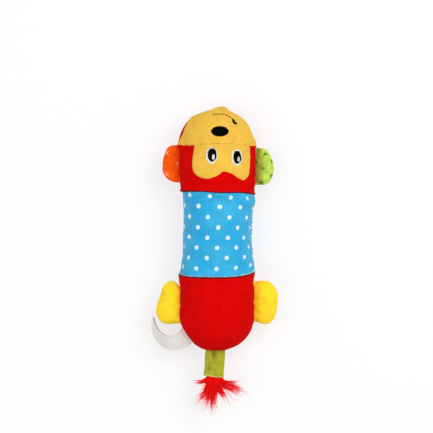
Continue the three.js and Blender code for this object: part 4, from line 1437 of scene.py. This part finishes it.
def make_label():
    """A ribbon that leaves the seam flat, turns up on edge along its line, and folds back on itself."""
    spots, across, _ = [np.array(part) for part in zip(*label_path())]
    run = run_along(spots)
    width = np.linspace(-0.5, 0.5, 11) * LABEL_WIDTH
    points = spots[:, None] + across[:, None] * width[None, :, None]
    flat = [(w, r) for r in run for w in width]
    obj = make("label_ribbon", points.reshape(-1, 3), grid_faces(len(spots), len(width)), "satin")
    lay_out(obj, flat)
    thicken(obj, LABEL_THICK)
    crisp(obj)
    bend(obj, "care_label")


make_label()


# What is inside: stuffing and squeakers

FILLS = {
    "head_wad": "head", "neck_wad": "torso", "waist_wad": "torso", "belly_back_wad": "torso",
    "press_wad_upper": "belly_press", "press_wad_lower": "belly_press", "hip_wad": "hip",
    "ear_left_wad": "ear_left", "ear_right_wad": "ear_right", "foot_left_wad": "foot_left",
    "foot_right_wad": "foot_right", "tail_wad": "tail",
}
BULB_RADIUS = 14.2
BULB_TALL = 7.5
BULB_WALL = 0.9
NOZZLE_RADIUS = 4.0
NOZZLE_LENGTH = 5.0
BULB_KEEP = 0.62  # share of its height that a pressed bulb keeps


def kept_under(points, skin, margin=1.1):
    """Moves points that reach through a closed skin, or nearly, back in under it."""
    out = points.copy()
    for k, p in enumerate(points):
        spot, normal, _, _ = skin.find_nearest(Vector(p))
        if (Vector(p) - spot).dot(normal) > -margin:
            out[k] = np.array(spot - normal * margin)
    return out


def room_to_press(points):
    """Draws in the stuffing that is pressed, so that it clears its neighbours at the end of its travel."""
    down = np.array([0, 0, PRESS_TRAVEL])
    points = points - down
    points[:, 1] = np.clip(points[:, 1], -PRESS_END, PRESS_END)
    points = kept_under(points, FACE, 2.4)
    pressed = AXIS_Z + (BULB_TALL + NOZZLE_LENGTH) * (BULB_KEEP - 1)
    for middle, tall in ((pressed, BULB_TALL * BULB_KEEP + 0.9), (AXIS_Z - PRESS_TRAVEL, BULB_TALL + 0.6)):
        for way in (1, -1):
            far = np.hypot(points[:, 0], points[:, 1] - way * SQUEAKER_Y) / (BULB_RADIUS + 1.0)
            top = middle + tall * np.sqrt(np.maximum(0, 1 - far**2))
            points[:, 2] = np.where(far < 1, np.maximum(points[:, 2], top), points[:, 2])
    return points + down


def make_fill(node, body):
    """Stuffing in the room of its solid, drawn in a little and matted into lumps."""
    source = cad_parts[node]
    mesh = source.data.copy()
    mesh.materials.clear()
    mesh.materials.append(M["fill"])
    obj = link(node.replace("_wad", "_stuffing"), mesh)
    remesh = obj.modifiers.new("voxels", "REMESH")
    remesh.mode = "VOXEL"
    remesh.voxel_size = max(0.0009, max(source.dimensions) / 34)
    settle(obj)
    points = points_of(obj)
    normals = np.zeros(len(points) * 3)
    obj.data.vertices.foreach_get("normal", normals)
    deep = np.maximum(0.2, 0.8 + 0.5 * noise_at(points, 3.5, 30.0))
    points = points - normals.reshape(-1, 3) * deep[:, None]
    if body == "belly_press":
        points = room_to_press(points)
    set_points(obj, kept_under(points, SKINS.get(body, FACE)))
    mend(obj, False)
    shade_smooth(obj.data)
    if body in BENDS:
        bend(obj, node)
    else:
        carried(obj, body, node)


for fill_node, fill_body in FILLS.items():
    make_fill(fill_node, fill_body)


def bulb_profile(radius, tall, nozzle, marked):
    """Radius and height from the nozzle up to the top, with a moulding line and soft ribs where marked."""
    profile = []
    for t in np.linspace(math.asin(-math.sqrt(1 - (nozzle / radius) ** 2)), math.pi / 2, 22):
        rim = 0.3 * bell(t, 0.05) if marked else 0.0
        rib = 0.18 * math.sin(6 * t) if marked and t > 0.3 else 0.0
        profile.append((max(0.0, radius * math.cos(t) + rim), tall * math.sin(t) + rib * math.cos(t)))
    return profile


def make_bulb(word, y):
    """A blown bulb with an open nozzle below."""
    inside = NOZZLE_RADIUS - BULB_WALL
    end = -BULB_TALL - NOZZLE_LENGTH
    inner = bulb_profile(BULB_RADIUS - BULB_WALL, BULB_TALL - BULB_WALL, inside, False)
    outer = bulb_profile(BULB_RADIUS, BULB_TALL, NOZZLE_RADIUS, True)
    profile = inner[::-1] + [(inside, end), (NOZZLE_RADIUS, end)] + outer
    turns = np.arange(40) * 2 * math.pi / 40
    points = [(r * math.cos(a), y + r * math.sin(a), AXIS_Z + z) for r, z in profile for a in turns]
    obj = make(f"squeaker_{word}_balloon", points, grid_faces(len(profile), len(turns), True), "bulb")
    mend(obj)
    carried(obj, "torso", f"squeaker_{word}_bulb")
    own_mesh(obj)


for word, sign in (("upper", 1), ("lower", -1)):
    make_bulb(word, sign * SQUEAKER_Y)
    for piece, look in (("whistle", "whistle"), ("reed_holder", "whistle"), ("reed", "reed")):
        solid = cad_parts[f"squeaker_{word}_{piece}"]
        solid.data.materials.clear()
        solid.data.materials.append(M[look])


def make_closing_stitch():
    """Slanted stitches that close the seam where the belly was stuffed."""
    paths = []
    for y in np.arange(-4, 5) * 2.8:
        row = BODY[int(np.argmin(np.abs(ROWS[:, 0] - y)))]
        path = []
        for t in np.linspace(-1, 1, 9):
            at = t * 1.8 - 1.0
            low = math.floor(at)
            edge = row[low % COLS] * (1 - at + low) + row[(low + 1) % COLS] * (at - low)
            path.append([edge[0] + 0.4 * (1 - t * t) - 0.1, y + t, edge[2]])
        paths.append(path)
    radii = [0.16, 0.2, 0.22, 0.22, 0.22, 0.22, 0.22, 0.2, 0.16]
    obj = make("closing_stitches", *tubes(paths, [radii] * len(paths)), "seam_blue")
    blended(obj, *PRESSED_UPPER)
    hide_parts("closing_stitch")


make_closing_stitch()


# Stage, light and camera


def make_stage():
    """A pale floor; seen straight it is whiter than its light, and it keeps the toy's shadow."""
    mesh = bpy.data.meshes.new("floor")
    corners = [(-6, -6, 0), (6, -6, 0), (6, 6, 0), (-6, 6, 0)]
    mesh.from_pydata(corners, [], [(0, 1, 2, 3)])
    floor = link("floor", mesh)
    floor.location.z = -0.0003
    look = Shader("floor", Roughness=0.9, Specular_IOR_Level=0.0, Base_Color=(0.9, 0.9, 0.9, 1))
    rays = [look.add("LightPath", out=kind) for kind in ("Is Camera Ray", "Is Glossy Ray")]
    share = look.math("MULTIPLY", look.math("MAXIMUM", *rays), 0.68)
    look.mix_in(share, look.add("Emission", {"Color": (1, 1, 1, 1), "Strength": 1.0}))
    mesh.materials.append(look.material)


def make_lamp(name, spot, size, power):
    data = bpy.data.lights.new(name, "AREA")
    data.shape = "SQUARE"
    data.size = size
    data.energy = power
    lamp = link(name, data)
    lamp.location = spot
    lamp.rotation_mode = "QUATERNION"
    lamp.rotation_quaternion = (Vector((0, 0, 0.02)) - Vector(spot)).to_track_quat("-Z", "Y")


def make_light():
    make_lamp("key", (0.5, 0.35, 1.0), 0.8, 6.8)
    make_lamp("fill", (-0.5, -0.1, 1.1), 0.9, 4.0)
    world = bpy.data.worlds.new("studio")
    world.use_nodes = True
    back = world.node_tree.nodes["Background"]
    back.inputs["Color"].default_value = (1, 1, 1, 1)
    back.inputs["Strength"].default_value = 0.54
    bpy.context.scene.world = world


VIEW_WIDTH = 317.8  # millimetres across the picture, at the height of the side seams
VIEW_MIDDLE = (-0.4, 12.8)
VIEW_TURN = math.radians(0.15)
CAMERA_DISTANCE = 2.5


def make_camera():
    data = bpy.data.cameras.new("camera")
    data.sensor_width = 36
    data.lens = data.sensor_width * CAMERA_DISTANCE / (VIEW_WIDTH * MM)
    data.clip_end = 20
    camera = link("camera", data)
    camera.location = (VIEW_MIDDLE[0] * MM, VIEW_MIDDLE[1] * MM, AXIS_Z * MM + CAMERA_DISTANCE)
    camera.rotation_euler = (0, 0, VIEW_TURN)
    bpy.context.scene.camera = camera


make_stage()
make_light()
make_camera()
bpy.context.scene.view_settings.view_transform = "Standard"
